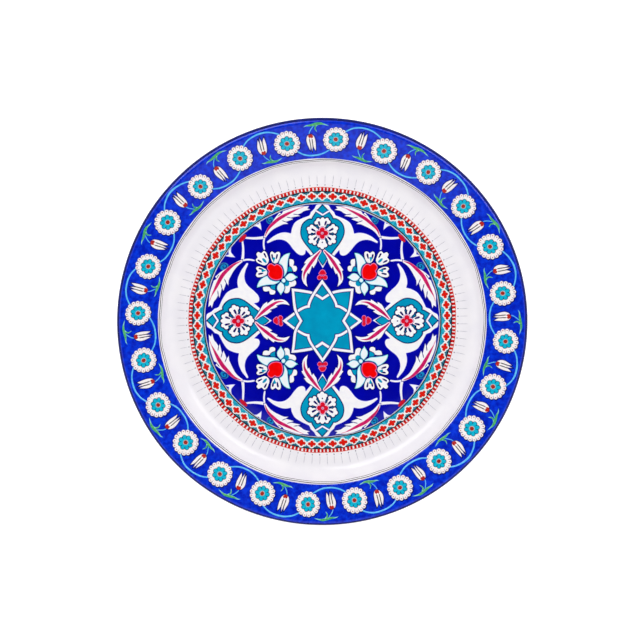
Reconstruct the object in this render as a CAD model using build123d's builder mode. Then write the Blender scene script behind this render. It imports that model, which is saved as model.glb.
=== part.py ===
"""A hand painted ceramic plate: a turned clay body on a foot ring, a white slip coat, coloured grounds
and the painted motifs as raised enamel. Millimetres, +Z up, origin at the centre of the foot's base."""

from build123d import *
from math import cos, radians, sin
import os

# Body
PLATE_RADIUS = 150.0
WELL_RADIUS = 103.5         # flat floor of the well ends here
WELL_TOP = 15.0             # bare clay at the floor of the well
WELL_THICKNESS = 6.0
CAVETTO_BEND = 16.5         # hollow curve between the well and the rim
CAVETTO_ANGLE = 60.0        # steepest slope of the cavetto
SHOULDER_BEND = 4.0         # rounded corner where the rim begins
RIM_ANGLE = 13.0            # slope of the flat rim
LIP_BEND = 2.5              # rounded edge of the rim, half the clay's thickness there

# Foot
FOOT_INNER = 83.0
FOOT_OUTER = 90.0
FOOT_TAPER = 2.0            # how much narrower each side of the foot is at its base
FOOT_BEVEL = 0.8
HANGING_HOLE_RADIUS = 1.75
HANGING_HOLE_ANGLE = 14.0   # each side of the +Y direction
HANGING_HOLE_HEIGHT = 5.0

# Coats
SLIP = 0.5
GROUND = 0.4
ENAMEL = 0.4                # first layer of raised enamel
DETAIL = 0.3                # each later layer on top of it
BACK_GLAZE = 0.4
SEAT = 0.15                 # the flat rim motifs clear the rim's own roundness by this much

# Rings of the design, as radii
MEDALLION_RADIUS = 86.5
MEDALLION_STRETCH = (0.98, 1.02)
RING_LINE = 0.35            # width of the thin drawn rings
BORDER_LINE_RADII = (87.2, 88.0, 96.0, 99.7)
CHAIN_COUNT = 74
CHAIN_RADIUS = 92.6
LINK_LENGTH = 5.4
LINK_WIDTH = 4.2
SCALLOP_ROOT = 88.3
SCALLOP_CENTRE = 88.0
SCALLOP_RADIUS = 2.3
TEETH_COUNT = 3 * CHAIN_COUNT
TOOTH_ROOT = 99.2
TOOTH_HEIGHT = 2.6
TOOTH_WIDTH = 2.1
RIM_LINE_RADII = (120.9, 121.8)
RIM_GROUND_START = 122.3

# Motifs of the rim
ROSETTE_COUNT = 24
ROSETTE_CIRCLE = 135.3
ROSETTE_RADIUS = 9.2
ROSETTE_LOBES = 16
ROSETTE_FIRST = 4.3         # degrees clockwise from +Y
ROSETTE_DRIFT = 1.85        # the painter's spacing runs ahead and behind by this many degrees
ROSETTE_DRIFT_START = 6.0
ROSETTE_LOBE_CIRCLE = 7.6
ROSETTE_GAP = 1.2           # bare ground between a rosette and the vines
HEART_RADIUS = 5.3
HEART_LOBES = 8
HEART_LOBE_CIRCLE = 3.7
EYE_RADIUS = 1.6
VINE_WIDTH = 1.1

# Motifs of the medallion
STAR_BAND = 1.6
CARDINAL_STAR = (28.4, 15.0)    # distance of its points and of its notches from the centre
DIAGONAL_STAR = (32.0, 16.0)
CARTOUCHE_CENTRE = 62.5
CARTOUCHE_PETALS = 6
CARTOUCHE_PETAL_CIRCLE = 6.8
CARTOUCHE_PETAL = (3.2, 4.4)
HEART_BEAD_CIRCLE = 2.3
HEART_BEAD_RADIUS = 1.9
STEM_WIDTH = 1.5
CURL_CENTRE = (40.8, 73.0)
CURL_RADIUS = 2.0
CURL_HOLE = 0.9
BUD_OFFSET = 59.0
BUD_RADIUS = 2.3
BUTTON_OFFSET = 28.8
BUTTON_RADIUS = 1.6
FINIAL_BEADS = ((31.9, 1.6), (34.7, 1.1))   # height above the centre and radius of each bead

RIM_STEP = 360.0 / ROSETTE_COUNT
ROSETTE_HALF_PITCH = ROSETTE_CIRCLE * radians(RIM_STEP / 2)
GROUND_TOP = SLIP + GROUND
WELL_PAINT = WELL_TOP + GROUND_TOP
RIM_NORMAL = Vector(sin(radians(RIM_ANGLE)), -cos(radians(RIM_ANGLE)))
LIP_COAT = LIP_BEND + GROUND_TOP
LIP_CENTRE_RADIUS = PLATE_RADIUS - LIP_COAT
SHOULDER_X = (
    WELL_RADIUS
    + CAVETTO_BEND * sin(radians(CAVETTO_ANGLE))
    + SHOULDER_BEND * (sin(radians(CAVETTO_ANGLE)) - sin(radians(RIM_ANGLE)))
)
SHOULDER_Z = (
    WELL_TOP
    + CAVETTO_BEND * (1 - cos(radians(CAVETTO_ANGLE)))
    + SHOULDER_BEND * (cos(radians(RIM_ANGLE)) - cos(radians(CAVETTO_ANGLE)))
)
RIM_END = LIP_CENTRE_RADIUS - LIP_BEND * RIM_NORMAL.X
RIM_LENGTH = (RIM_END - SHOULDER_X) / cos(radians(RIM_ANGLE))
LIP_CENTRE = Vector(RIM_END, SHOULDER_Z + RIM_LENGTH * sin(radians(RIM_ANGLE))) + RIM_NORMAL * LIP_BEND
BACK_SHOULDER = Vector(
    WELL_RADIUS + (CAVETTO_BEND + WELL_THICKNESS) * sin(radians(CAVETTO_ANGLE)),
    WELL_TOP + CAVETTO_BEND - (CAVETTO_BEND + WELL_THICKNESS) * cos(radians(CAVETTO_ANGLE)),
)
FOOT_HEIGHT = WELL_TOP - WELL_THICKNESS


def rosette_angle(number):
    """Clockwise angle from +Y of one rim rosette, with the painter's slow drift in the spacing."""
    turn = RIM_STEP * number
    return ROSETTE_FIRST + turn + ROSETTE_DRIFT * sin(radians(turn - ROSETTE_DRIFT_START))


ROSETTE_ANGLES = [rosette_angle(number) for number in range(ROSETTE_COUNT)]
GAP_ANGLES = [(rosette_angle(number) + rosette_angle(number + 1)) / 2 for number in range(ROSETTE_COUNT)]
# The spray points outward in every second gap, and inward in the gaps between them.
SPRAY_SIDES = {1: GAP_ANGLES[0::2], -1: GAP_ANGLES[1::2]}
RIM_LAYERS = [GROUND_TOP + SEAT] + [GROUND_TOP + SEAT + ENAMEL + DETAIL * step for step in range(2)]

# The eight ways that a medallion motif repeats, as signs and a swap of its two coordinates.
MEDALLION_TURNS = [(sx, sy, swap) for swap in (False, True) for sx in (1, -1) for sy in (1, -1)]
MEDALLION_QUARTERS = [(1, 1, False), (1, -1, False), (1, 1, True), (1, -1, True)]


def spot(point, turn):
    """A point of the motif drawn above the centre, moved to one of its repeats in the medallion."""
    sign_x, sign_y, swap = turn
    x, y = point[0] * sign_x, point[1] * sign_y
    if swap:
        x, y = y, x
    return (x * MEDALLION_STRETCH[0], y * MEDALLION_STRETCH[1])


def front_path(lift):
    """The front surface in section, from the centre to the lip, raised by the thickness of its coats."""
    floor = Line((0, WELL_TOP + lift), (WELL_RADIUS, WELL_TOP + lift))
    hollow = JernArc(floor @ 1, (1, 0), CAVETTO_BEND - lift, CAVETTO_ANGLE)
    shoulder = JernArc(hollow @ 1, hollow % 1, SHOULDER_BEND + lift, RIM_ANGLE - CAVETTO_ANGLE)
    return Line(shoulder @ 1, shoulder @ 1 + (shoulder % 1) * RIM_LENGTH)


def rim_point(radius, lift):
    """The point of the raised rim surface straight above the clay at a given radius."""
    height = SHOULDER_Z + (radius - SHOULDER_X) * sin(radians(RIM_ANGLE)) / cos(radians(RIM_ANGLE))
    return Vector(radius, height) - RIM_NORMAL * lift


def rim_planes(angles, lift):
    """Planes that lie along the rim at each angle, with +X clockwise and +Y outward."""
    planes = []
    middle = rim_point(ROSETTE_CIRCLE, lift)
    for angle in angles:
        outward = Vector(sin(radians(angle)), cos(radians(angle)), 0)
        clockwise = Vector(outward.Y, -outward.X, 0)
        normal = Vector(0, 0, -RIM_NORMAL.Y) - outward * RIM_NORMAL.X
        planes.append(Plane(outward * middle.X + Vector(0, 0, middle.Y), clockwise, normal))
    return planes


def rim_coat(low, high, start, end=RIM_END):
    """A conical coat on the flat of the rim, between two heights above the clay and two radii."""
    with BuildSketch(Plane.XZ) as section:
        with BuildLine():
            Polyline(
                rim_point(start, low),
                rim_point(end, low),
                rim_point(end, high),
                rim_point(start, high),
                close=True,
            )
        make_face()
    revolve(section.sketch, axis=Axis.Z)


def outline(stretches, turn):
    """A closed outline of smooth stretches joined at corners, drawn at one of its repeats."""
    with BuildLine() as edge:
        for stretch in stretches:
            points = [spot(point, turn) for point in stretch]
            if len(points) == 2:
                Line(*points)
            else:
                Spline(*points)
    make_face(edge.edges())


def mirrored(stretches):
    """An outline's right half, closed by the same half turned over to the left."""
    left = [[(-x, y) for x, y in reversed(stretch)] for stretch in reversed(stretches)]
    return stretches + left


def folded(stretches):
    """Half an outline, closed by the same half turned over the diagonal."""
    other = [[(y, x) for x, y in reversed(stretch)] for stretch in reversed(stretches)]
    return stretches + other


def star(point, notch, start):
    """A four pointed star, given the distances of its points and notches and its first point's angle."""
    corners = []
    for step in range(8):
        angle = radians(start + 45 * step)
        distance = notch if step % 2 else point
        corners.append(spot((distance * sin(angle), distance * cos(angle)), MEDALLION_TURNS[0]))
    Polygon(*corners, align=None)


def well_enamel(layer):
    """The plane of one enamel layer over the medallion's ground."""
    return Plane.XY.offset(WELL_PAINT + (ENAMEL + DETAIL * (layer - 1) if layer else 0))


def save(part, name):
    """Label one finished piece and write it."""
    part.part.label = name
    export_step(part.part, f"parts/{name}.step")


os.makedirs("parts", exist_ok=True)

# ---------------------------------------------------------------- clay body, foot and coats

with BuildPart() as clay_body:
    with BuildSketch(Plane.XZ):
        with BuildLine():
            rim = front_path(0)
            lip = CenterArc(LIP_CENTRE, LIP_BEND, 90 + RIM_ANGLE, -180)
            back_rim = Line(lip @ 1, BACK_SHOULDER)
            back_hollow = CenterArc(
                (WELL_RADIUS, WELL_TOP + CAVETTO_BEND),
                CAVETTO_BEND + WELL_THICKNESS,
                270,
                CAVETTO_ANGLE,
            )
            Polyline(back_hollow @ 0, (0, FOOT_HEIGHT), (0, WELL_TOP))
        make_face()
    revolve(axis=Axis.Z)
save(clay_body, "clay_body")

with BuildPart() as foot_ring:
    with BuildSketch(Plane.XZ):
        with BuildLine():
            Polyline(
                (FOOT_INNER, FOOT_HEIGHT),
                (FOOT_INNER + FOOT_TAPER, 0),
                (FOOT_OUTER - FOOT_TAPER, 0),
                (FOOT_OUTER, FOOT_HEIGHT),
                close=True,
            )
        make_face()
    revolve(axis=Axis.Z)
    chamfer(foot_ring.edges().group_by(Axis.Z)[0], FOOT_BEVEL)
    for angle in (-radians(HANGING_HOLE_ANGLE), radians(HANGING_HOLE_ANGLE)):
        outward = (sin(angle), cos(angle), 0)
        with BuildSketch(Plane((0, 0, HANGING_HOLE_HEIGHT), (-cos(angle), sin(angle), 0), outward)):
            Circle(HANGING_HOLE_RADIUS)
        extrude(amount=PLATE_RADIUS, mode=Mode.SUBTRACT)
save(foot_ring, "foot_ring")

with BuildPart() as back_glaze:
    with BuildSketch(Plane.XZ):
        with BuildLine():
            inner = CenterArc(
                (WELL_RADIUS, WELL_TOP + CAVETTO_BEND), CAVETTO_BEND + WELL_THICKNESS, 270, CAVETTO_ANGLE
            )
            outer = CenterArc(
                (WELL_RADIUS, WELL_TOP + CAVETTO_BEND),
                CAVETTO_BEND + WELL_THICKNESS + BACK_GLAZE,
                270,
                CAVETTO_ANGLE,
            )
            Polyline(
                inner @ 1,
                LIP_CENTRE + RIM_NORMAL * LIP_BEND,
                LIP_CENTRE + RIM_NORMAL * (LIP_BEND + BACK_GLAZE),
                outer @ 1,
            )
            Polyline(
                outer @ 0,
                (FOOT_OUTER, FOOT_HEIGHT - BACK_GLAZE),
                (FOOT_OUTER, FOOT_HEIGHT),
                inner @ 0,
            )
        make_face()
    revolve(axis=Axis.Z)
    with BuildSketch(Plane.XY.offset(FOOT_HEIGHT - BACK_GLAZE)):
        Circle(FOOT_INNER)
    extrude(amount=BACK_GLAZE)
save(back_glaze, "back_glaze")

with BuildPart() as white_slip:
    with BuildSketch(Plane.XZ):
        with BuildLine():
            lower = front_path(0)
            upper = front_path(SLIP)
            Line(lower @ 1, upper @ 1)
            Line((0, WELL_TOP), (0, WELL_TOP + SLIP))
        make_face()
    revolve(axis=Axis.Z)
save(white_slip, "white_slip")

with BuildPart() as rim_edge:
    with BuildSketch(Plane.XZ):
        with BuildLine():
            inside = CenterArc(LIP_CENTRE, LIP_BEND, 90 + RIM_ANGLE, -180)
            outside = CenterArc(LIP_CENTRE, LIP_COAT, 90 + RIM_ANGLE, -180)
            Line(inside @ 0, outside @ 0)
            Line(inside @ 1, outside @ 1)
        make_face()
    revolve(axis=Axis.Z)
save(rim_edge, "rim_edge")

with BuildPart() as rim_ground:
    rim_coat(SLIP, GROUND_TOP, RIM_GROUND_START)
save(rim_ground, "rim_ground")

with BuildPart() as medallion_ground:
    with BuildSketch(Plane.XY.offset(WELL_TOP + SLIP)):
        Circle(MEDALLION_RADIUS)
    extrude(amount=GROUND)
save(medallion_ground, "medallion_ground")

# ---------------------------------------------------------------- rings

with BuildPart() as rim_lines:
    for radius in RIM_LINE_RADII:
        rim_coat(SLIP, GROUND_TOP, radius - RING_LINE / 2, radius + RING_LINE / 2)
save(rim_lines, "rim_lines")

with BuildPart() as border_lines:
    for radius in BORDER_LINE_RADII:
        with BuildSketch(Plane.XY.offset(WELL_TOP + SLIP)):
            Circle(radius + RING_LINE / 2)
            Circle(radius - RING_LINE / 2, mode=Mode.SUBTRACT)
        extrude(amount=GROUND)
save(border_lines, "border_lines")

with BuildPart() as scallops:
    with BuildSketch(Plane.XY.offset(WELL_TOP + SLIP)):
        with PolarLocations(SCALLOP_CENTRE, CHAIN_COUNT):
            Circle(SCALLOP_RADIUS)
        Circle(SCALLOP_ROOT, mode=Mode.SUBTRACT)
    extrude(amount=GROUND)
save(scallops, "scallops")

with BuildPart() as chain_links:
    with BuildSketch(Plane.XY.offset(WELL_TOP + SLIP)):
        with PolarLocations(CHAIN_RADIUS, CHAIN_COUNT, start_angle=180 / CHAIN_COUNT):
            Ellipse(LINK_WIDTH / 2, LINK_LENGTH / 4)
            Ellipse(LINK_WIDTH / 4, LINK_LENGTH / 2)
    extrude(amount=ENAMEL)
save(chain_links, "chain_links")

with BuildPart() as border_teeth:
    with BuildSketch(Plane.XY.offset(WELL_TOP + SLIP)):
        with PolarLocations(TOOTH_ROOT, TEETH_COUNT):
            Polygon((0, -TOOTH_WIDTH / 2), (0, TOOTH_WIDTH / 2), (-TOOTH_HEIGHT, 0), align=None)
    extrude(amount=GROUND)
save(border_teeth, "border_teeth")

# ---------------------------------------------------------------- rim motifs

TULIP = [
    [(-1.0, -2.6), (2.4, -0.6), (4.6, 5.6)],
    [(4.6, 5.6), (3.2, 5.0), (1.8, 8.6)],
    [(1.8, 8.6), (-0.4, 5.8), (-2.0, 7.0)],
    [(-2.0, 7.0), (-3.2, 1.6), (-1.0, -2.6)],
]
SPEAR = [
    [(0.0, 0.2), (2.0, 3.2), (1.7, 7.2)],
    [(1.7, 7.2), (-0.2, 4.2), (0.0, 0.2)],
]
SPRIG = [
    [(-3.2, -8.4), (2.4, -7.4), (11.4, -8.6)],
    [(11.4, -8.6), (3.6, -11.0), (-3.2, -8.4)],
]
VINE = [(-13.0, 5.6), (0.8, 9.6), (15.0, 5.2)]


def spray_outline(stretches, side):
    """One closed outline of the spray in a gap, pointing outward (1) or inward (-1)."""
    with BuildLine() as edge:
        for stretch in stretches:
            Spline(*[(x, y * side) for x, y in stretch])
    make_face(edge.edges())


def clear_rosettes():
    """Cut a motif back from the rosettes on both sides of its gap."""
    with Locations((-ROSETTE_HALF_PITCH, 0), (ROSETTE_HALF_PITCH, 0)):
        Circle(ROSETTE_RADIUS + ROSETTE_GAP, mode=Mode.SUBTRACT)


def lobed(circle, radius, lobes):
    """A round flower with even lobes."""
    Circle(circle)
    with PolarLocations(circle, lobes):
        Circle(radius - circle)


with BuildPart() as rosette_petals:
    with BuildSketch(*rim_planes(ROSETTE_ANGLES, RIM_LAYERS[0])):
        lobed(ROSETTE_LOBE_CIRCLE, ROSETTE_RADIUS, ROSETTE_LOBES)
    extrude(amount=ENAMEL)
save(rosette_petals, "rosette_petals")

with BuildPart() as rosette_hearts:
    with BuildSketch(*rim_planes(ROSETTE_ANGLES, RIM_LAYERS[1])):
        lobed(HEART_LOBE_CIRCLE, HEART_RADIUS, HEART_LOBES)
    extrude(amount=DETAIL)
save(rosette_hearts, "rosette_hearts")

with BuildPart() as rosette_eyes:
    with BuildSketch(*rim_planes(ROSETTE_ANGLES, RIM_LAYERS[2])):
        Circle(EYE_RADIUS)
    extrude(amount=DETAIL)
save(rosette_eyes, "rosette_eyes")

with BuildPart() as tulips:
    for side, angles in SPRAY_SIDES.items():
        with BuildSketch(*rim_planes(angles, RIM_LAYERS[0])):
            spray_outline(TULIP, side)
        extrude(amount=ENAMEL)
save(tulips, "tulips")

with BuildPart() as tulip_spears:
    for side, angles in SPRAY_SIDES.items():
        with BuildSketch(*rim_planes(angles, RIM_LAYERS[1])):
            spray_outline(SPEAR, side)
        extrude(amount=DETAIL)
save(tulip_spears, "tulip_spears")

with BuildPart() as vine_sprigs:
    for side, angles in SPRAY_SIDES.items():
        with BuildSketch(*rim_planes(angles, RIM_LAYERS[0])):
            spray_outline(SPRIG, side)
            clear_rosettes()
        extrude(amount=ENAMEL)
save(vine_sprigs, "vine_sprigs")

with BuildPart() as vine_arches:
    for side, angles in SPRAY_SIDES.items():
        with BuildSketch(*rim_planes(angles, RIM_LAYERS[0])):
            with BuildLine() as run:
                Spline(*[(x, y * side) for x, y in VINE])
            trace(run.edges(), VINE_WIDTH)
            clear_rosettes()
        extrude(amount=ENAMEL)
save(vine_arches, "vine_arches")

# ---------------------------------------------------------------- medallion motifs, drawn above the centre

PALMETTE = mirrored([
    [(0, 84.4), (4.6, 82.6)],
    [(4.6, 82.6), (8.8, 78.1), (13.5, 75.2)],
    [(13.5, 75.2), (20.6, 71.3), (23.8, 63.3)],
    [(23.8, 63.3), (31.8, 63.4), (38.8, 59.8), (41.6, 56.8)],
    [(41.6, 56.8), (36.5, 58.2), (28.3, 57.9), (21.8, 51.5), (15.6, 47.1), (12.2, 49.6)],
    [(12.2, 49.6), (0, 36.6)],
])
CARTOUCHE = mirrored([
    [(0, 82.2), (5.4, 77.6), (8.2, 73.2)],
    [(8.2, 73.2), (14.0, 70.5), (16.2, 64.5), (12.4, 54.9), (8.4, 49.2)],
    [(8.4, 49.2), (0, 39.2)],
])
LONG_LEAF = [
    [(43.7, 58.4), (40.4, 68.0), (31.5, 76.8), (17.5, 81.6), (9.5, 82.4)],
    [(9.5, 82.4), (20.0, 76.4), (30.0, 71.0), (38.6, 64.0), (42.6, 58.6)],
    [(42.6, 58.6), (43.7, 58.4)],
]
LONG_MIDRIB = [
    [(42.6, 60.6), (38.8, 68.2), (30.0, 75.2), (14.4, 81.2)],
    [(14.4, 81.2), (27.5, 74.0), (36.8, 67.0), (42.6, 60.6)],
]
SHORT_LEAF = [
    [(8.8, 44.6), (14.2, 40.2), (15.6, 33.0), (10.9, 24.0)],
    [(10.9, 24.0), (11.2, 31.5), (8.8, 38.5), (6.9, 42.4)],
    [(6.9, 42.4), (8.8, 44.6)],
]
SHORT_MIDRIB = [
    [(8.4, 43.0), (12.4, 37.0), (12.8, 28.5)],
    [(12.8, 28.5), (11.0, 36.0), (8.4, 43.0)],
]
UPRIGHT_STEM = [(43.6, 57.0), (43.9, 54.4), (43.5, 51.6)]
LEVEL_STEM = [(45.6, 59.0), (50.4, 58.4), (55.6, 58.3)]
STEM_TIP = [
    [(46.0, 64.8), (46.8, 69.4), (51.2, 67.2)],
    [(51.2, 67.2), (48.0, 67.0), (46.0, 64.8)],
]
POMEGRANATE = folded([
    [(30.4, 30.4), (29.3, 35.0), (31.5, 39.5), (34.5, 41.2), (36.4, 40.6)],
    [(36.4, 40.6), (39.0, 42.2), (41.4, 41.4)],
])
CORNER_PETAL = folded([
    [(43.4, 43.4), (41.2, 46.0), (43.6, 50.4), (46.2, 48.9)],
    [(46.2, 48.9), (47.6, 49.6), (48.6, 48.6)],
])
SIDE_PETAL = [
    [(33.4, 43.4), (31.8, 47.6), (33.4, 50.5), (35.4, 49.0)],
    [(35.4, 49.0), (37.4, 50.5), (39.0, 48.0), (37.6, 43.9)],
    [(37.6, 43.9), (33.4, 43.4)],
]
SEPAL = [
    [(24.1, 49.2), (29.0, 47.0), (31.6, 42.6)],
    [(31.6, 42.6), (28.7, 39.0), (28.2, 34.0)],
    [(28.2, 34.0), (26.0, 41.0), (24.1, 49.2)],
]
LOWER_LEAF = [
    [(18.3, 31.7), (22.6, 34.4), (26.6, 31.8)],
    [(26.6, 31.8), (22.8, 30.0), (18.3, 31.7)],
]
OUTER_LOBES = [
    [(22.9, 44.6), (20.9, 43.8), (21.3, 40.4)],
    [(21.3, 40.4), (18.8, 38.6), (20.2, 36.4)],
    [(20.2, 36.4), (23.6, 39.4), (22.9, 44.6)],
]
INNER_LOBES = folded([
    [(26.2, 26.2), (25.0, 28.6), (21.2, 29.4)],
    [(21.2, 29.4), (19.4, 27.0), (21.6, 25.6)],
    [(21.6, 25.6), (23.6, 25.8), (24.9, 24.9)],
])


def medallion_shapes(shapes, turns):
    """Draw each outline at each of its repeats."""
    for shape in shapes:
        for turn in turns:
            outline(shape, turn)


def medallion_places(point, turns):
    """The repeats of one point of the medallion."""
    return Locations(*[spot(point, turn) for turn in turns])


with BuildPart() as star_field:
    with BuildSketch(well_enamel(0)):
        star(*CARDINAL_STAR, 0)
        star(*DIAGONAL_STAR, 45)
        offset(amount=STAR_BAND / 2, kind=Kind.INTERSECTION)
    extrude(amount=ENAMEL)
save(star_field, "star_field")

with BuildPart() as star_bands:
    for size, start in ((CARDINAL_STAR, 0), (DIAGONAL_STAR, 45)):
        with BuildSketch(well_enamel(1)):
            star(*size, start)
            offset(amount=STAR_BAND / 2, kind=Kind.INTERSECTION)
            with BuildSketch(mode=Mode.SUBTRACT):
                star(*size, start)
                offset(amount=-STAR_BAND / 2, kind=Kind.INTERSECTION)
        extrude(amount=DETAIL)
save(star_bands, "star_bands")

with BuildPart() as cartouche_palmettes:
    with BuildSketch(well_enamel(0)):
        medallion_shapes([PALMETTE], MEDALLION_QUARTERS)
    extrude(amount=ENAMEL)
save(cartouche_palmettes, "cartouche_palmettes")

with BuildPart() as cartouche_fields:
    with BuildSketch(well_enamel(1)):
        medallion_shapes([CARTOUCHE], MEDALLION_QUARTERS)
    extrude(amount=DETAIL)
save(cartouche_fields, "cartouche_fields")

with BuildPart() as cartouche_rosettes:
    with BuildSketch(well_enamel(2)):
        with medallion_places((0, CARTOUCHE_CENTRE), MEDALLION_QUARTERS):
            Circle(CARTOUCHE_PETAL_CIRCLE)
            with PolarLocations(CARTOUCHE_PETAL_CIRCLE, CARTOUCHE_PETALS, start_angle=90):
                Ellipse(CARTOUCHE_PETAL[1], CARTOUCHE_PETAL[0])
    extrude(amount=DETAIL)
save(cartouche_rosettes, "cartouche_rosettes")

with BuildPart() as cartouche_hearts:
    with BuildSketch(well_enamel(3)):
        with medallion_places((0, CARTOUCHE_CENTRE), MEDALLION_QUARTERS):
            Circle(HEART_BEAD_CIRCLE)
            with PolarLocations(HEART_BEAD_CIRCLE, 4):
                Circle(HEART_BEAD_RADIUS)
    extrude(amount=DETAIL)
save(cartouche_hearts, "cartouche_hearts")

with BuildPart() as saz_leaves:
    with BuildSketch(well_enamel(0)):
        medallion_shapes([LONG_LEAF, SHORT_LEAF], MEDALLION_TURNS)
    extrude(amount=ENAMEL)
save(saz_leaves, "saz_leaves")

with BuildPart() as leaf_midribs:
    with BuildSketch(well_enamel(1)):
        medallion_shapes([LONG_MIDRIB, SHORT_MIDRIB], MEDALLION_TURNS)
    extrude(amount=DETAIL)
save(leaf_midribs, "leaf_midribs")

with BuildPart() as medallion_stems:
    with BuildSketch(well_enamel(0)):
        for turn in MEDALLION_TURNS:
            for path in (UPRIGHT_STEM, LEVEL_STEM):
                with BuildLine() as run:
                    Spline(*[spot(point, turn) for point in path])
                trace(run.edges(), STEM_WIDTH)
        medallion_shapes([STEM_TIP], MEDALLION_TURNS)
    extrude(amount=ENAMEL)
save(medallion_stems, "medallion_stems")

with BuildPart() as pomegranates:
    with BuildSketch(well_enamel(0)):
        medallion_shapes([POMEGRANATE], MEDALLION_TURNS[:4])
    extrude(amount=ENAMEL)
save(pomegranates, "pomegranates")

with BuildPart() as carnation_petals:
    with BuildSketch(well_enamel(0)):
        medallion_shapes([CORNER_PETAL], MEDALLION_TURNS[:4])
        medallion_shapes([SIDE_PETAL], MEDALLION_TURNS)
    extrude(amount=ENAMEL)
save(carnation_petals, "carnation_petals")

with BuildPart() as sepals:
    with BuildSketch(well_enamel(0)):
        medallion_shapes([SEPAL, LOWER_LEAF], MEDALLION_TURNS)
    extrude(amount=ENAMEL)
save(sepals, "sepals")

with BuildPart() as blossom_lobes:
    with BuildSketch(well_enamel(0)):
        medallion_shapes([OUTER_LOBES], MEDALLION_TURNS)
        medallion_shapes([INNER_LOBES], MEDALLION_TURNS[:4])
    extrude(amount=ENAMEL)
save(blossom_lobes, "blossom_lobes")

with BuildPart() as blossom_buttons:
    with BuildSketch(well_enamel(0)):
        with medallion_places((BUTTON_OFFSET, BUTTON_OFFSET), MEDALLION_TURNS[:4]):
            Circle(BUTTON_RADIUS)
    extrude(amount=ENAMEL)
save(blossom_buttons, "blossom_buttons")

with BuildPart() as finials:
    with BuildSketch(well_enamel(0)):
        for turn in MEDALLION_QUARTERS:
            for height, size in FINIAL_BEADS:
                with Locations(spot((0, height), turn)):
                    Circle(size)
    extrude(amount=ENAMEL)
save(finials, "finials")

with BuildPart() as border_buds:
    with BuildSketch(well_enamel(0)):
        with medallion_places((BUD_OFFSET, BUD_OFFSET), MEDALLION_TURNS[:4]):
            Circle(BUD_RADIUS)
    extrude(amount=ENAMEL)
save(border_buds, "border_buds")

with BuildPart() as curls:
    with BuildSketch(well_enamel(0)):
        with medallion_places(CURL_CENTRE, MEDALLION_TURNS):
            Circle(CURL_RADIUS)
            Circle(CURL_HOLE, mode=Mode.SUBTRACT)
    extrude(amount=ENAMEL)
save(curls, "curls")
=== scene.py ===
"""Looks of the hand painted ceramic plate: glazed body, cobalt grounds and raised enamel painting.

Plan outlines are in millimetres. Medallion motifs are drawn above the centre and repeated by its symmetry,
and rim motifs are drawn in arc length and radius about a place on the rim. Everything is laid on the
plate's own curved front, so each motif is a thin closed dome of enamel."""

import math
from collections import namedtuple
import bpy
import numpy as np
from mathutils.geometry import delaunay_2d_cdt
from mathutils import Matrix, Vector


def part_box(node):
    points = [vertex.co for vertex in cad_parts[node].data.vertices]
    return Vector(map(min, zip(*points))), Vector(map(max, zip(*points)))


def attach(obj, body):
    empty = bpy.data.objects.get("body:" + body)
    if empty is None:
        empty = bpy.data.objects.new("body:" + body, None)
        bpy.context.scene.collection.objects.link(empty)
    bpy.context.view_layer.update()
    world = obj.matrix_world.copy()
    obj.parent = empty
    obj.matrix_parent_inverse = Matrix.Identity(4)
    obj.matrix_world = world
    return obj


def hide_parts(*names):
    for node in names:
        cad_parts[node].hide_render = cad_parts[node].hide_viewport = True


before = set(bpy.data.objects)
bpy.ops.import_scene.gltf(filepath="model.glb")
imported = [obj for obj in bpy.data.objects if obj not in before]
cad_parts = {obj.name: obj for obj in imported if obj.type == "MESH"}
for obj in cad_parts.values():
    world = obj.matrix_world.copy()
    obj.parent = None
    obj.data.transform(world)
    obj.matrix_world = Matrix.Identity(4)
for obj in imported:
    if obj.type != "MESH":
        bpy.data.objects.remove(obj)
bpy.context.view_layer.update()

MM = 0.001
RANDOM = np.random.default_rng(7)

# ---------------------------------------------------------------- the plate's section, as in the CAD

PLATE_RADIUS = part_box("rim_edge")[1].x / MM
MEDALLION_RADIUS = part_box("medallion_ground")[1].x / MM
WELL_RADIUS = 103.5
WELL_TOP = 15.0
WELL_THICKNESS = 6.0
CAVETTO_BEND = 16.5
CAVETTO_CENTRE = (WELL_RADIUS, WELL_TOP + CAVETTO_BEND)
CAVETTO_ANGLE = math.radians(60)
SHOULDER_BEND = 4.0
RIM_ANGLE = math.radians(13)
LIP_BEND = 2.5
# how far the tops of the slip and of the coloured grounds are off the bare clay
SLIP = 0.5
GROUND = 0.9
BACK_GLAZE = 0.4
# a coat's rounded edge: its width and its points. A coat sinks a little into what it lies on.
COAT_EDGE = 0.35
EDGE_POINTS = 3
COAT_SINK = 0.1
ROUND_STEPS = 480


def arc(centre, radius, start, end, steps):
    """Points and outward normals on an arc. Angles are from straight up, growing away from the axis."""
    angle = np.linspace(start, end, steps)
    normals = np.stack([np.sin(angle), np.cos(angle)], 1)
    return np.asarray(centre) + radius * normals, normals


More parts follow.
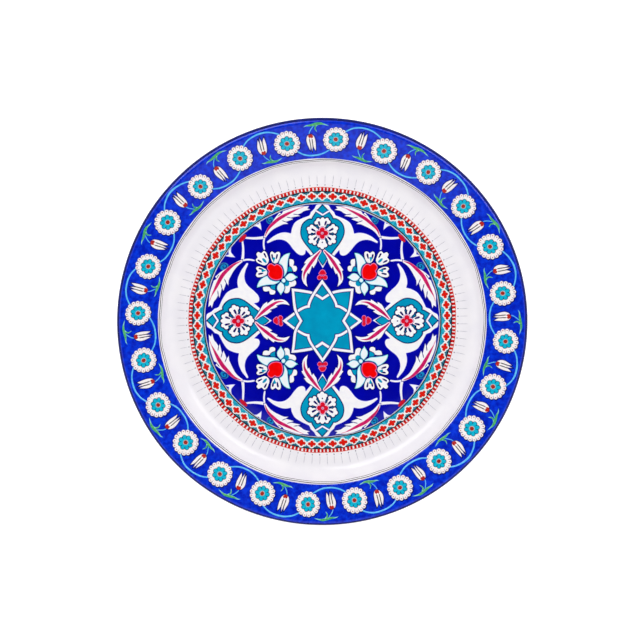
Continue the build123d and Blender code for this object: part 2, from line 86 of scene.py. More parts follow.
def front_section():
    """The bare clay's front from the axis to the lip's outermost point: points and normals."""
    flat = np.stack([np.linspace(0, WELL_RADIUS, 8), np.full(8, WELL_TOP)], 1)
    up = np.tile((0.0, 1.0), (8, 1))
    bend, outward = arc(CAVETTO_CENTRE, CAVETTO_BEND, math.pi, math.pi - CAVETTO_ANGLE, 28)
    centre = bend[-1] + outward[-1] * SHOULDER_BEND
    turn, normals = arc(centre, SHOULDER_BEND, -CAVETTO_ANGLE, -RIM_ANGLE, 12)
    slope = np.array((math.cos(RIM_ANGLE), math.sin(RIM_ANGLE)))
    tilt = np.array((-math.sin(RIM_ANGLE), math.cos(RIM_ANGLE)))
    lip_radius = PLATE_RADIUS - LIP_BEND - GROUND
    length = (lip_radius + LIP_BEND * tilt[0] - turn[-1][0]) / slope[0]
    rim = turn[-1] + np.linspace(0, length, 30)[:, None] * slope
    lip_centre = rim[-1] - tilt * LIP_BEND
    lip, around = arc(lip_centre, LIP_BEND, -RIM_ANGLE, math.pi / 2, 12)
    points = np.concatenate([flat[:-1], bend[:-1], turn[:-1], rim[:-1], lip])
    facing = np.concatenate([up[:-1], -outward[:-1], normals[:-1], np.tile(tilt, (29, 1)), around])
    return points, facing, lip_centre


SECTION, FACING, LIP_CENTRE = front_section()


def on_section(radius, lift):
    """Radius and height of points lifted off the front, from their plan radius."""
    out = np.interp(radius, SECTION[:, 0], FACING[:, 0])
    up = np.interp(radius, SECTION[:, 0], FACING[:, 1])
    height = np.interp(radius, SECTION[:, 0], SECTION[:, 1])
    return radius + lift * out, height + lift * up


def sway(points):
    """Moves plan points by up to a quarter of a millimetre each way, as a painter's hand does."""
    x, y = points[:, 0], points[:, 1]
    across = 0.16 * np.sin(0.11 * x + 0.17 * y + 0.6) + 0.09 * np.sin(0.31 * y - 0.23 * x + 2.0)
    along = 0.16 * np.sin(0.15 * x - 0.12 * y + 1.9) + 0.09 * np.sin(0.27 * x + 0.29 * y + 4.0)
    return points + np.stack([across, along], 1)


def lay(points, lift):
    """Plan points in millimetres to points on the plate in metres."""
    points = sway(points)
    radius = np.hypot(points[:, 0], points[:, 1])
    out, height = on_section(radius, lift)
    spread = (out / np.maximum(radius, 1e-9))[:, None]
    return np.column_stack([points * spread, height]) * MM


# ---------------------------------------------------------------- plan outlines


def curve(points, gap=0.5):
    """A smooth run through points, as a Catmull-Rom curve sampled every gap millimetres."""
    points = np.asarray(points, float)
    first = 2 * points[0] - points[1]
    last = 2 * points[-1] - points[-2]
    knots = np.vstack([first, points, last])
    run = []
    for a, b, c, d in zip(knots, knots[1:], knots[2:], knots[3:]):
        steps = max(2, int(math.ceil(np.linalg.norm(c - b) / gap)))
        t = (np.arange(steps) / steps)[:, None]
        square, cube = 2 * a - 5 * b + 4 * c - d, 3 * b - a - 3 * c + d
        run.append(0.5 * (2 * b + (c - a) * t + square * t**2 + cube * t**3))
    return np.vstack(run + [points[-1:]])


def half_runs(*runs):
    """Smooth runs that meet in corners, left open. Each run starts where the last one ended."""
    parts = []
    end = None
    for run in runs:
        knots = run if end is None else [end] + list(run)
        parts.append(curve(knots)[:-1])
        end = knots[-1]
    return np.vstack(parts + [np.asarray([end], float)])


def outline(*runs):
    """Runs as in half_runs, closed with a straight side where the last one ends away from the start."""
    points = half_runs(*runs)
    if np.linalg.norm(points[-1] - points[0]) > 0.05:
        points = np.vstack([points[:-1], curve([points[-1], points[0]])])
    return points[:-1]


def mirrored(half, axis=(0, 1)):
    """A closed outline from the half at one side of a line through the origin along axis."""
    along = np.asarray(axis, float) / np.linalg.norm(axis)
    flipped = 2 * (half @ along)[:, None] * along - half
    return np.vstack([half, flipped[::-1]])


def lobed(centre, discs, steps=180):
    """The outline of overlapping discs, each (x, y, radius), seen from a centre inside them."""
    angle = np.linspace(0, 2 * math.pi, steps, endpoint=False)
    rays = np.stack([np.cos(angle), np.sin(angle)], 1)
    reach = np.zeros(steps)
    for x, y, radius in discs:
        off = np.array((x, y)) - centre
        along = rays @ off
        inside = radius**2 - (off @ off - along**2)
        hit = along + np.sqrt(np.maximum(inside, 0))
        reach = np.where(inside > 0, np.maximum(reach, hit), reach)
    return np.asarray(centre) + reach[:, None] * rays


def rosette_outline(count, circle, radius, steps=180):
    """Lobes on a circle, with a core that fills their middle."""
    discs = [(0, 0, circle)]
    for k in range(count):
        angle = 2 * math.pi * k / count
        discs.append((circle * math.cos(angle), circle * math.sin(angle), radius))
    return lobed((0, 0), discs, steps)


def area_of(points):
    """Signed area of a closed outline."""
    x, y = points[:, 0], points[:, 1]
    return 0.5 * float(np.sum(x * np.roll(y, -1) - np.roll(x, -1) * y))


def distance_to(points, border):
    """Shortest distance from each point to a closed outline."""
    nearest = np.full(len(points), 1e9)
    for a, b in zip(border, np.roll(border, -1, 0)):
        line = b - a
        t = np.clip((points - a) @ line / max(line @ line, 1e-12), 0, 1)
        gap = points - (a + t[:, None] * line)
        nearest = np.minimum(nearest, np.hypot(gap[:, 0], gap[:, 1]))
    return nearest


# ---------------------------------------------------------------- patches of enamel

# Every patch sinks this far into what it lies on, starts with a wall this high, and a flat brush line is
# this thick. A dome's shoulder has rings of points at these parts of its width.
SINK = 0.12
WALL = 0.05
FLAT = 0.05
SHOULDER_STEPS = (0.22, 0.62)


# A thin closed solid in plan: its points, the height of each, the faces, each point's distance from the
# edge, its tone along a stroke, and the outline.
Patch = namedtuple("Patch", "points rise faces inset tone border")


def inside_of(points, border):
    """Which points are inside a closed outline."""
    within = np.zeros(len(points), bool)
    x, y = points[:, 0], points[:, 1]
    for (ax, ay), (bx, by) in zip(border, np.roll(border, -1, 0)):
        crosses = (ay > y) != (by > y)
        at = ax + (y - ay) * (bx - ax) / (by - ay if by != ay else 1e-12)
        within ^= crosses & (x < at)
    return within


def triangles(points, border_count):
    """Faces over all points, inside the outline that the first border_count of them make."""
    loop = list(range(border_count))
    found = delaunay_2d_cdt([tuple(p) for p in points], [], [loop], 1, 1e-7)
    corners = []
    for ids in found[3]:
        corners.append(ids[0] if ids else -1)
    faces = []
    for face in found[2]:
        named = [corners[i] for i in face]
        if min(named) >= 0:
            faces.append(named)
    return faces


def dome(border, height, shoulder, spacing):
    """An enamel patch that rises from its border over the shoulder's width and is level inside."""
    border = np.asarray(border, float)
    if area_of(border) < 0:
        border = border[::-1]
    ahead = np.roll(border, -1, 0) - np.roll(border, 1, 0)
    ahead /= np.maximum(np.linalg.norm(ahead, axis=1), 1e-9)[:, None]
    inward = np.stack([-ahead[:, 1], ahead[:, 0]], 1)
    low, high = border.min(0), border.max(0)
    rows = np.arange(low[1], high[1], spacing * 0.87)
    grid = []
    for k, y in enumerate(rows):
        xs = np.arange(low[0] + (k % 2) * spacing / 2, high[0], spacing)
        grid.append(np.stack([xs, np.full(len(xs), y)], 1))
    grid = np.vstack(grid)
    gathered = []
    for step in SHOULDER_STEPS:
        ring = border + inward * step * shoulder
        gap = distance_to(ring, border)
        gathered.append(ring[(gap > 0.93 * step * shoulder) & inside_of(ring, border)])
    gap = distance_to(grid, border)
    gathered.append(grid[(gap > 0.85 * shoulder) & inside_of(grid, border)])
    inner = np.vstack(gathered)
    points = np.vstack([border, inner])
    inset = np.concatenate([np.zeros(len(border)), distance_to(inner, border)])
    slope = 1 - np.minimum(inset / shoulder, 1)
    rise = WALL + (height - WALL) * np.sqrt(np.maximum(1 - slope**2, 0))
    count = len(border)
    top = triangles(points, count)
    below = triangles(border, count)
    total = len(points)
    faces = [tuple(f) for f in top]
    faces += [tuple(total + i for i in reversed(f)) for f in below]
    for i in range(count):
        j = (i + 1) % count
        faces.append((j, i, total + i, total + j))
    points = np.vstack([points, border])
    rise = np.concatenate([rise, np.full(count, -SINK)])
    inset = np.concatenate([inset, np.zeros(count)])
    return Patch(points, rise, faces, inset, np.zeros(len(points)), border)


# a stroke's section: places across its width and the height at each, where -1 is the underside
RIBBON = ((-0.5, -1.0), (-0.46, 0.45), (-0.26, 0.85), (0.0, 1.0), (0.26, 0.85), (0.46, 0.45), (0.5, -1.0))


def stroke(path, width, height, closed=False, tip=1.0):
    """A brush stroke along a path. Its width is a number or a function of 0 to 1 along it, and tip narrows
    an open stroke's ends."""
    path = np.asarray(path, float)
    count = len(path)
    if closed:
        ahead = np.roll(path, -1, 0) - np.roll(path, 1, 0)
    else:
        ahead = np.gradient(path, axis=0)
    ahead /= np.maximum(np.linalg.norm(ahead, axis=1), 1e-9)[:, None]
    side = np.stack([ahead[:, 1], -ahead[:, 0]], 1)
    if closed:
        step = np.roll(path, -1, 0) - path
        step /= np.maximum(np.linalg.norm(step, axis=1), 1e-9)[:, None]
        side /= np.maximum(np.sum(step * ahead, axis=1), 0.5)[:, None]
    t = np.linspace(0, 1, count)
    spans = width(t) if callable(width) else np.full(count, float(width))
    if not closed and tip < 1.0:
        ends = np.minimum(t, 1 - t) * count
        spans = spans * np.clip(tip + (1 - tip) * ends / 3, 0, 1)
    ring = len(RIBBON)
    points, rise, inset, tone = [], [], [], []
    for across, up in RIBBON:
        points.append(path + side * (spans * across)[:, None])
        low = up < 0
        rise.append(np.full(count, -SINK) if low else up * height * np.clip(spans / spans.max(), 0.3, 1))
        inset.append((0.5 - abs(across)) * spans)
        tone.append(1 - np.abs(2 * t - 1))
    order = np.arange(count * ring).reshape(ring, count)
    faces = []
    last = count if closed else count - 1
    for i in range(last):
        j = (i + 1) % count
        for k in range(ring):
            m = (k + 1) % ring
            faces.append((order[k, i], order[m, i], order[m, j], order[k, j]))
    if not closed:
        faces.append(tuple(order[::-1, 0]))
        faces.append(tuple(order[:, -1]))
    points = np.vstack(points)
    left = path - side * (spans * 0.5)[:, None]
    right = path + side * (spans * 0.5)[:, None]
    border = np.vstack([right, left[::-1]])
    if closed and area_of(path) > 0:
        border = path
    faces = [tuple(int(i) for i in face) for face in faces]
    if area_of(border) < 0:
        border = border[::-1]
    return Patch(points, np.concatenate(rise), faces, np.concatenate(inset), np.concatenate(tone), border)


def ring_stroke(radius, width, height):
    """A painted ring about the centre."""
    angle = np.linspace(0, 2 * math.pi, ROUND_STEPS, endpoint=False)
    path = radius * np.stack([np.cos(angle), np.sin(angle)], 1)
    return stroke(path, width, height, closed=True)


# the inset of a turned coat's points, further in than any edge tint reaches
FAR_INSIDE = 9.0


class Piece:
    """Gathers laid patches and makes them one mesh object. The glazes read each point's inset and tone. They
    don't read its shade, one random number for each repeat."""

    def __init__(self, name):
        self.name = name
        self.points, self.faces, self.inset, self.tone, self.shade = [], [], [], [], []
        self.count = 0

    def solid(self, points, faces, inset=None, tone=None, shade=0.5):
        """Adds a mesh that is already in metres."""
        self.points.append(points)
        self.faces += [tuple(i + self.count for i in face) for face in faces]
        self.inset.append(np.full(len(points), FAR_INSIDE) if inset is None else inset)
        self.tone.append(np.zeros(len(points)) if tone is None else tone)
        self.shade.append(np.full(len(points), shade))
        self.count += len(points)

    def add(self, patch, lift, spots=(lambda p: p,)):
        """Lays a patch at each spot, a function from motif points to plan points."""
        for spot in spots:
            points = spot(patch.points)
            turned = area_of(spot(patch.border)) < 0
            faces = [face[::-1] for face in patch.faces] if turned else patch.faces
            height = lift(points) if callable(lift) else lift
            self.solid(lay(points, height + patch.rise), faces, patch.inset, patch.tone, RANDOM.random())

    def finish(self, material, slot, *nodes):
        """Makes the object, rides it on the plate and hides the CAD nodes that it stands for."""
        mesh = bpy.data.meshes.new(self.name)
        mesh.from_pydata(np.vstack(self.points).tolist(), [], self.faces)
        for label, values in (("inset", self.inset), ("tone", self.tone), ("shade", self.shade)):
            layer = mesh.attributes.new(label, "FLOAT", "POINT")
            layer.data.foreach_set("value", np.concatenate(values).astype(np.float32))
        mesh.shade_smooth()
        mesh.set_sharp_from_angle(angle=math.radians(50))
        mesh.materials.append(material)
        piece = bpy.data.objects.new(self.name, mesh)
        bpy.context.scene.collection.objects.link(piece)
        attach(piece, "root")
        if nodes:
            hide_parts(*nodes)
        return piece


def laid(name, material, slot, *layers, nodes=()):
    """One finished piece made of layers, each a patch, its lift and its spots."""
    piece = Piece(name)
    for layer in layers:
        piece.add(*layer)
    return piece.finish(material, slot, *nodes)


def lathe(piece, section):
    """Turns a closed section, in millimetres, about the axis. Points on the axis become single ones."""
    angle = np.linspace(0, 2 * math.pi, ROUND_STEPS, endpoint=False)
    points, rings = [], []
    for radius, height in section:
        if radius < 1e-6:
            rings.append([len(points)] * ROUND_STEPS)
            points.append((0, 0, height))
        else:
            rings.append(list(range(len(points), len(points) + ROUND_STEPS)))
            points += [(radius * math.cos(a), radius * math.sin(a), height) for a in angle]
    faces = []
    for low, high in zip(rings, rings[1:] + rings[:1]):
        for i in range(ROUND_STEPS):
            j = (i + 1) % ROUND_STEPS
            corners = list(dict.fromkeys((low[i], high[i], high[j], low[j])))
            if len(corners) > 2:
                faces.append(tuple(corners))
    piece.solid(np.array(points) * MM, faces)


def turned(name, material, slot, section, *nodes):
    """One finished piece turned from a section."""
    piece = Piece(name)
    lathe(piece, section)
    return piece.finish(material, slot, *nodes)


def coat(start, end, low, high):
    """The closed section of a layer on the front, between two plan radii and two lifts."""
    edge = COAT_EDGE
    inner = SECTION[(SECTION[:, 0] > start + edge) & (SECTION[:, 0] < end - edge)][:, 0]
    rising = [start, start + 0.3 * edge, start + edge]
    falling = [end - edge, end - 0.3 * edge, end]
    top = np.concatenate([rising, inner, falling])
    lifts = np.full(len(top), float(high))
    step = high - low
    if start > 0:
        lifts[:2] = (low + 0.35 * step, low + 0.8 * step)
    lifts[-2:] = (low + 0.8 * step, low + 0.35 * step)
    upper = np.stack(on_section(top, lifts), 1)
    lower = np.stack(on_section(top, np.full(len(top), low - COAT_SINK)), 1)
    return np.vstack([lower, upper[::-1]])


# ---------------------------------------------------------------- glazes

def colour(red, green, blue):
    """A colour given in 0 to 255, as the linear values that a shader takes."""
    linear = []
    for value in (red, green, blue):
        v = value / 255
        linear.append(v / 12.92 if v <= 0.04045 else ((v + 0.055) / 1.055) ** 2.4)
    return (*linear, 1.0)


class Shader:
    """Short calls for building one glaze's nodes."""

    def __init__(self, name, gloss=0.14, ior=1.5):
        self.material = bpy.data.materials.new(name)
        self.material.use_nodes = True
        self.tree = self.material.node_tree
        self.shader = self.tree.nodes["Principled BSDF"]
        self.shader.inputs["IOR"].default_value = ior
        self.shader.inputs["Roughness"].default_value = gloss
        self.place = self.tree.nodes.new("ShaderNodeTexCoord").outputs["Object"]

    def link(self, source, target):
        self.tree.links.new(source, target)

    def noise(self, size, detail=2.0):
        """Noise whose features are about size millimetres."""
        node = self.tree.nodes.new("ShaderNodeTexNoise")
        node.inputs["Scale"].default_value = 1 / (size * MM)
        node.inputs["Detail"].default_value = detail
        self.link(self.place, node.inputs["Vector"])
        return node.outputs["Fac"]

    def attribute(self, name):
        node = self.tree.nodes.new("ShaderNodeAttribute")
        node.attribute_name = name
        return node.outputs["Fac"]

    def ranged(self, source, low, high, to_low=0.0, to_high=1.0, smooth=False):
        node = self.tree.nodes.new("ShaderNodeMapRange")
        node.interpolation_type = "SMOOTHSTEP" if smooth else "LINEAR"
        for key, value in (("From Min", low), ("From Max", high), ("To Min", to_low), ("To Max", to_high)):
            node.inputs[key].default_value = value
        self.link(source, node.inputs["Value"])
        return node.outputs["Result"]

    def mix(self, factor, first, second):
        node = self.tree.nodes.new("ShaderNodeMix")
        node.data_type = "RGBA"
        self.link(factor, node.inputs["Factor"])
        for key, value in ((6, first), (7, second)):
            if isinstance(value, tuple):
                node.inputs[key].default_value = value
            else:
                self.link(value, node.inputs[key])
        return node.outputs[2]

    def surface(self, tint, rough=(0.10, 0.20), wave=0.02, fine=0.006):
        """Colour, roughness that wanders, and a glaze that is slightly uneven."""
        self.link(tint, self.shader.inputs["Base Color"])
        self.link(self.ranged(self.noise(9), 0.3, 0.7, *rough), self.shader.inputs["Roughness"])
        target = self.shader.inputs["Normal"]
        for depth, size in ((fine, 0.9), (wave, 6)):
            bump = self.tree.nodes.new("ShaderNodeBump")
            bump.inputs["Strength"].default_value = 1.0
            bump.inputs["Distance"].default_value = depth * MM
            self.link(self.noise(size, 1.0), bump.inputs["Height"])
            self.link(bump.outputs["Normal"], target)
            target = bump.inputs["Normal"]
        return self.material


def glaze(name, light, dark, edge=None, edge_width=0.5, edge_start=0.0, size=3.0, along=None, ior=1.5,
          **finish):
    """A painted glaze: two mottled tints, an edge tint that fades inwards and a tint at a stroke's ends."""
    shader = Shader(name, ior=ior)
    patches = shader.ranged(shader.noise(size, 3.0), 0.35, 0.65)
    tint = shader.mix(patches, colour(*light), colour(*dark))
    if along:
        reach = shader.ranged(shader.attribute("tone"), along[0], along[1], smooth=True)
        tint = shader.mix(reach, colour(*along[2]), tint)
    if edge:
        depth = shader.ranged(shader.attribute("inset"), edge_start, edge_width, smooth=True)
        tint = shader.mix(depth, colour(*edge), tint)
    return shader.surface(tint, **finish)


# thin painted lines shine less than the thick glazes
DULL = 1.2

CLAY = glaze("fired_clay", (196, 150, 110), (176, 128, 90),
             size=1.5, rough=(0.75, 0.9), wave=0.05, fine=0.08)
WHITE_GLAZE = glaze("white_glaze", (250, 247, 251), (245, 242, 248), size=14.0)
BACK_WHITE = glaze("back_white_glaze", (244, 240, 240), (236, 230, 228), size=10.0, wave=0.04)
RIM_COBALT = glaze("rim_cobalt_glaze", (6, 58, 226), (2, 30, 184), size=3.2, wave=0.03)
EDGE_COBALT = glaze("edge_cobalt_glaze", (8, 24, 122), (4, 14, 84), size=5.0, ior=DULL)
MEDALLION_COBALT = glaze("medallion_cobalt_glaze", (0, 4, 172), (0, 2, 158), size=12.0)
DARK_LINE = glaze("dark_line_glaze", (34, 30, 44), (14, 18, 34), size=1.6, ior=DULL)
BROWN_LINE = glaze("brown_line_glaze", (66, 46, 52), (30, 24, 34), size=1.4, ior=DULL)
GREY_LINE = glaze("grey_line_glaze", (214, 218, 234), (176, 186, 210), size=2.0)
HAIR_LINE = glaze("hair_line_glaze", (212, 209, 217), (184, 180, 193),
                  size=2.2, along=(0.0, 0.5, (232, 230, 236)), ior=DULL)
HAIR_DOT = glaze("hair_dot_glaze", (150, 142, 160), (70, 66, 92), size=0.8, ior=DULL)
SALMON_LINE = glaze("salmon_line_glaze", (246, 150, 130), (228, 84, 66), size=1.2)
NAVY_LINE = glaze("navy_line_glaze", (30, 16, 138), (16, 8, 108), size=1.5, ior=DULL)
SHADOW_NAVY = glaze("shadow_navy_glaze", (2, 14, 84), (2, 10, 64), size=1.5, ior=DULL)
TEAL_LINE = glaze("teal_line_glaze", (4, 40, 104), (2, 22, 84), size=1.5, ior=DULL)
VIOLET_LINE = glaze("violet_line_glaze", (36, 10, 110), (22, 6, 88), size=1.5, ior=DULL)
TURQUOISE = glaze("turquoise_glaze", (0, 160, 200), (0, 146, 188), size=9.0)
HEART_TURQUOISE = glaze("heart_turquoise_glaze", (20, 196, 224), (10, 172, 206),
                        edge=(0, 62, 84), edge_width=0.75, size=1.2)
SCALLOP = glaze("scallop_turquoise_glaze", (48, 190, 214), (20, 140, 178), size=1.6)
SCALLOP_TEAL = glaze("scallop_teal_glaze", (66, 156, 182), (14, 82, 106), size=1.5)
ENAMEL = glaze("white_enamel_glaze", (255, 253, 254), (249, 247, 252),
               edge=(128, 116, 250), edge_width=0.42, size=4.0)
PETAL = glaze("rim_petal_glaze", (255, 251, 249), (248, 238, 241),
              edge=(110, 104, 214), edge_width=0.36, size=1.3)
CHAIN_WHITE = glaze("chain_white_glaze", (252, 248, 246), (244, 238, 238), size=2.0)
CHAIN_RED = glaze("chain_red_glaze", (232, 34, 20), (212, 20, 12),
                  edge=(150, 10, 10), edge_width=0.4, size=1.0)
TEETH_RED = glaze("teeth_red_glaze", (222, 30, 24), (176, 12, 16), size=0.9)
POMEGRANATE = glaze("pomegranate_glaze", (252, 4, 6), (240, 0, 2),
                    edge=(240, 110, 170), edge_width=1.1, edge_start=0.35, size=4.0)
HEART_RED = glaze("heart_red_glaze", (236, 20, 50), (206, 6, 36),
                  edge=(214, 20, 90), edge_width=0.5, size=1.5)
HEART_PINK = glaze("heart_pink_glaze", (252, 214, 236), (246, 190, 222),
                   edge=(90, 40, 140), edge_width=0.45, size=1.5)
FIELD_LINE = glaze("field_line_glaze", (0, 50, 118), (0, 30, 96), size=1.5, ior=DULL)
PETAL_LINE = glaze("petal_line_glaze", (16, 24, 104), (8, 14, 84), size=1.5, ior=DULL)
FINIAL_RED = glaze("finial_red_glaze", (236, 20, 54), (214, 8, 42),
                   edge=(240, 120, 180), edge_width=0.6, edge_start=0.1, size=1.5)
SLIT_GREY = glaze("petal_slit_glaze", (190, 180, 196), (104, 100, 140), size=1.3, ior=DULL)
FLOWER_LINE = glaze("flower_line_glaze", (14, 16, 126), (6, 8, 100), size=1.5, ior=DULL)
BUD_RED = glaze("bud_red_glaze", (216, 20, 50), (190, 10, 40),
                edge=(120, 10, 80), edge_width=0.4, size=1.4)
TULIP_RED = glaze("tulip_red_glaze", (204, 50, 42), (160, 26, 30), size=0.8)
EYE_BROWN = glaze("eye_brown_glaze", (190, 52, 36), (140, 30, 24),
                  edge=(90, 24, 30), edge_width=0.35, size=0.7)
COLLAR = glaze("collar_glaze", (244, 228, 226), (214, 190, 192),
               edge=(60, 90, 110), edge_width=0.3, size=0.8)
DOT_BROWN = glaze("dot_brown_glaze", (224, 134, 132), (160, 84, 96), size=0.9)
CRIMSON = glaze("crimson_glaze", (222, 36, 112), (184, 18, 86),
                edge=(238, 140, 184), edge_width=0.4, size=2.0)
VINE = glaze("vine_blue_glaze", (112, 206, 255), (84, 182, 246),
             edge=(30, 140, 224), edge_width=0.35, size=2.0)
SPRIG = glaze("sprig_green_glaze", (96, 190, 118), (56, 156, 90), edge=(60, 170, 140), edge_width=0.3,
              size=1.4, along=(0.1, 0.62, (160, 226, 240)))
SEPAL = glaze("sepal_glaze", (248, 252, 255), (240, 247, 252),
              edge=(120, 226, 246), edge_width=1.0, edge_start=0.25, size=3.0)
CURL_BLUE = glaze("curl_blue_glaze", (20, 150, 206), (0, 120, 186),
                  edge=(0, 86, 150), edge_width=0.5, size=1.2)

# ---------------------------------------------------------------- body and grounds

BACK_BEND = CAVETTO_BEND + WELL_THICKNESS
LIP_COAT = LIP_BEND + GROUND
LIP_LAYER = 0.6
DARK_EDGE_START = math.radians(28)
RIM_GROUND_START = 120.35
RIM_GROUND_END = 146.0


def give_material(node, material):
    """A CAD node that stays gets the glaze in all its slots."""
    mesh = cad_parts[node].data
    mesh.materials.clear()
    mesh.materials.append(material)


def coats():
    """The white glazed slip, the cobalt grounds, the dark lip and the glazed back."""
    turned("white_front_glaze", WHITE_GLAZE, "white_glaze", coat(0, RIM_GROUND_END, 0.0, SLIP), "white_slip")
    turned("medallion_cobalt_ground", MEDALLION_COBALT, "medallion_cobalt",
           coat(0, MEDALLION_RADIUS - 0.4, SLIP, GROUND), "medallion_ground")

    section = coat(RIM_GROUND_START, RIM_GROUND_END, SLIP, GROUND)
    half = len(section) // 2
    over = arc(LIP_CENTRE, LIP_COAT, -RIM_ANGLE, DARK_EDGE_START, 12)[0]
    under = arc(LIP_CENTRE, LIP_COAT - LIP_LAYER, -RIM_ANGLE, DARK_EDGE_START, 12)[0]
    lower, upper = section[: half - EDGE_POINTS], section[half + EDGE_POINTS :]
    turned("rim_cobalt_ground", RIM_COBALT, "rim_cobalt",
           np.vstack([lower, under, over[::-1], upper]), "rim_ground")

    over = arc(LIP_CENTRE, LIP_COAT, DARK_EDGE_START, math.pi - RIM_ANGLE, 30)[0]
    under = arc(LIP_CENTRE, LIP_COAT - LIP_LAYER, DARK_EDGE_START, math.pi - RIM_ANGLE, 30)[0]
    turned("dark_lip_glaze", EDGE_COBALT, "edge_cobalt", np.vstack([under, over[::-1]]), "rim_edge")

    level = WELL_TOP - WELL_THICKNESS
    sides = []
    for lift in (BACK_GLAZE, -COAT_SINK):
        bowl = arc(CAVETTO_CENTRE, BACK_BEND + lift, math.pi, math.pi - CAVETTO_ANGLE, 28)[0]
        end = arc(LIP_CENTRE, LIP_BEND + lift, math.pi - RIM_ANGLE, math.pi - RIM_ANGLE, 1)[0]
        sides.append(np.vstack([[(0.0, level - lift)], bowl, end]))
    turned("back_glaze_coat", BACK_WHITE, "white_glaze", np.vstack([sides[0], sides[1][::-1]]), "back_glaze")

    give_material("clay_body", CLAY)
    give_material("foot_ring", BACK_WHITE)


# ---------------------------------------------------------------- the border round the medallion

CHAIN_COUNT = 74
CHAIN_RADIUS = 91.8
TEETH_COUNT = 222
TEETH_ROOT = 98.0
HAIR_COUNT = 116
HAIR_SPAN = (100.0, 107.8)
BAND_START = 87.5
BAND_END = 94.9
BAND_HEIGHT = 0.12
# painted rings, each a radius and a width
GREY_RING = [(86.2, 0.42)]
DARK_RINGS = [(87.1, 0.9), (95.1, 1.2)]
SALMON_RING = [(98.1, 0.55)]
RIM_RINGS = [(118.5, 0.26), (119.5, 0.46)]


def ring_spots(count, radius, jitter=0.0, first=0.0):
    """Spots evenly round the plate, with motif x clockwise and y outward. Jitter varies size and place."""
    spots = []
    for k in range(count):
        angle = first + 2 * math.pi * k / count
        size, shift = 1 + jitter * (RANDOM.random(2) - 0.5)

        def spot(points, angle=angle, size=size, shift=(shift - 1) * 2):
            outward = np.array((math.sin(angle), math.cos(angle)))
            clockwise = np.array((outward[1], -outward[0]))
            return (points[:, :1] * size + shift) * clockwise + (radius + points[:, 1:] * size) * outward

        spots.append(spot)
    return spots


def ellipse(centre, half_width, half_height, turn=0.0, steps=40):
    """An oval outline."""
    angle = np.linspace(0, 2 * math.pi, steps, endpoint=False)
    x, y = half_width * np.cos(angle), half_height * np.sin(angle)
    c, s = math.cos(turn), math.sin(turn)
    return np.stack([centre[0] + x * c - y * s, centre[1] + x * s + y * c], 1)


def cross(x, y, wide, tall):
    """Four discs about the origin, two at either side and two above and below."""
    return [(x, 0, wide), (-x, 0, wide), (0, y, tall), (0, -y, tall)]


def rings(name, material, slot, lines, *nodes, height, lift=SLIP):
    """One piece made of painted rings, each a radius and a width."""
    layers = [(ring_stroke(radius, width, height), lift) for radius, width in lines]
    return laid(name, material, slot, *layers, nodes=nodes)


def border():
    """Lines, the turquoise and teal bands, the chain of red flowers, teeth and hair lines."""
    rings("border_grey_ring", GREY_LINE, "line_black", GREY_RING, height=0.24, lift=SLIP + 0.2)
    rings("border_dark_rings", DARK_LINE, "line_black", DARK_RINGS, "border_lines", height=0.15)
    rings("border_salmon_ring", SALMON_LINE, "teeth_red", SALMON_RING, height=0.16)
    rings("rim_dark_rings", BROWN_LINE, "line_black", RIM_RINGS, "rim_lines", height=0.06)

    turned("border_turquoise_band", SCALLOP, "scallop_turquoise",
           coat(BAND_START, CHAIN_RADIUS, SLIP, SLIP + BAND_HEIGHT), "scallops")
    turned("border_teal_band", SCALLOP_TEAL, "scallop_turquoise",
           coat(CHAIN_RADIUS, BAND_END, SLIP, SLIP + BAND_HEIGHT))

    spots = ring_spots(CHAIN_COUNT, CHAIN_RADIUS, jitter=0.08)
    wide = lobed((0, 0), [(0, 0, 2.2), *cross(2.0, 1.35, 2.0, 2.0)], 72)
    flower = lobed((0, 0), [(0, 0, 1.4), *cross(1.85, 1.2, 1.15, 1.2)], 72)
    laid("chain_white_links", CHAIN_WHITE, "white_enamel",
         (dome(wide, 0.2, 0.5, 0.9), SLIP + 0.1, spots), (ring_stroke(CHAIN_RADIUS, 1.9, 0.2), SLIP + 0.08))
    laid("chain_red_flowers", CHAIN_RED, "chain_red", (dome(flower, 0.24, 0.5, 0.8), SLIP + 0.3, spots),
         nodes=["chain_links"])

    tooth = outline([(-1.0, 0.3), (-0.8, -0.9), (-1.05, -2.1)], [(0, -2.5), (1.05, -2.1)],
                    [(0.8, -0.9), (1.0, 0.3)])
    laid("border_teeth", TEETH_RED, "teeth_red",
         (dome(tooth, 0.2, 0.5, 0.9), SLIP, ring_spots(TEETH_COUNT, TEETH_ROOT, jitter=0.2)),
         nodes=["border_teeth"])

    hair = stroke(curve([(0, 0), (0, HAIR_SPAN[1] - HAIR_SPAN[0])], 0.7), 0.37, 0.04, tip=0.2)
    laid("well_hair_lines", HAIR_LINE, "line_black",
         (hair, SLIP, ring_spots(HAIR_COUNT, HAIR_SPAN[0], jitter=0.12, first=0.02)))
    dot = dome(ellipse((0, 0), 0.34, 0.5, steps=14), 0.1, 0.2, 0.4)
    laid("well_hair_dots", HAIR_DOT, "line_black",
         (dot, SLIP, ring_spots(HAIR_COUNT, HAIR_SPAN[0] - 0.2, jitter=0.12, first=0.02)))


# ---------------------------------------------------------------- rim motifs

ROSETTE_COUNT = 24
ROSETTE_CIRCLE = 134.3
ROSETTE_STAGGER = 0.55
ROSETTE_FIRST = 4.4
ROSETTE_DRIFT = 1.3
ROSETTE_DRIFT_START = 8.0
CROWDING = 0.4
CROWDED_AT = 140
CROWDED_SPAN = 25
PETAL_COUNT = 16
TULIP_SIZE = (0.86, 0.97)
PETAL_CIRCLE = 7.9
PETAL_RADIUS = 1.58


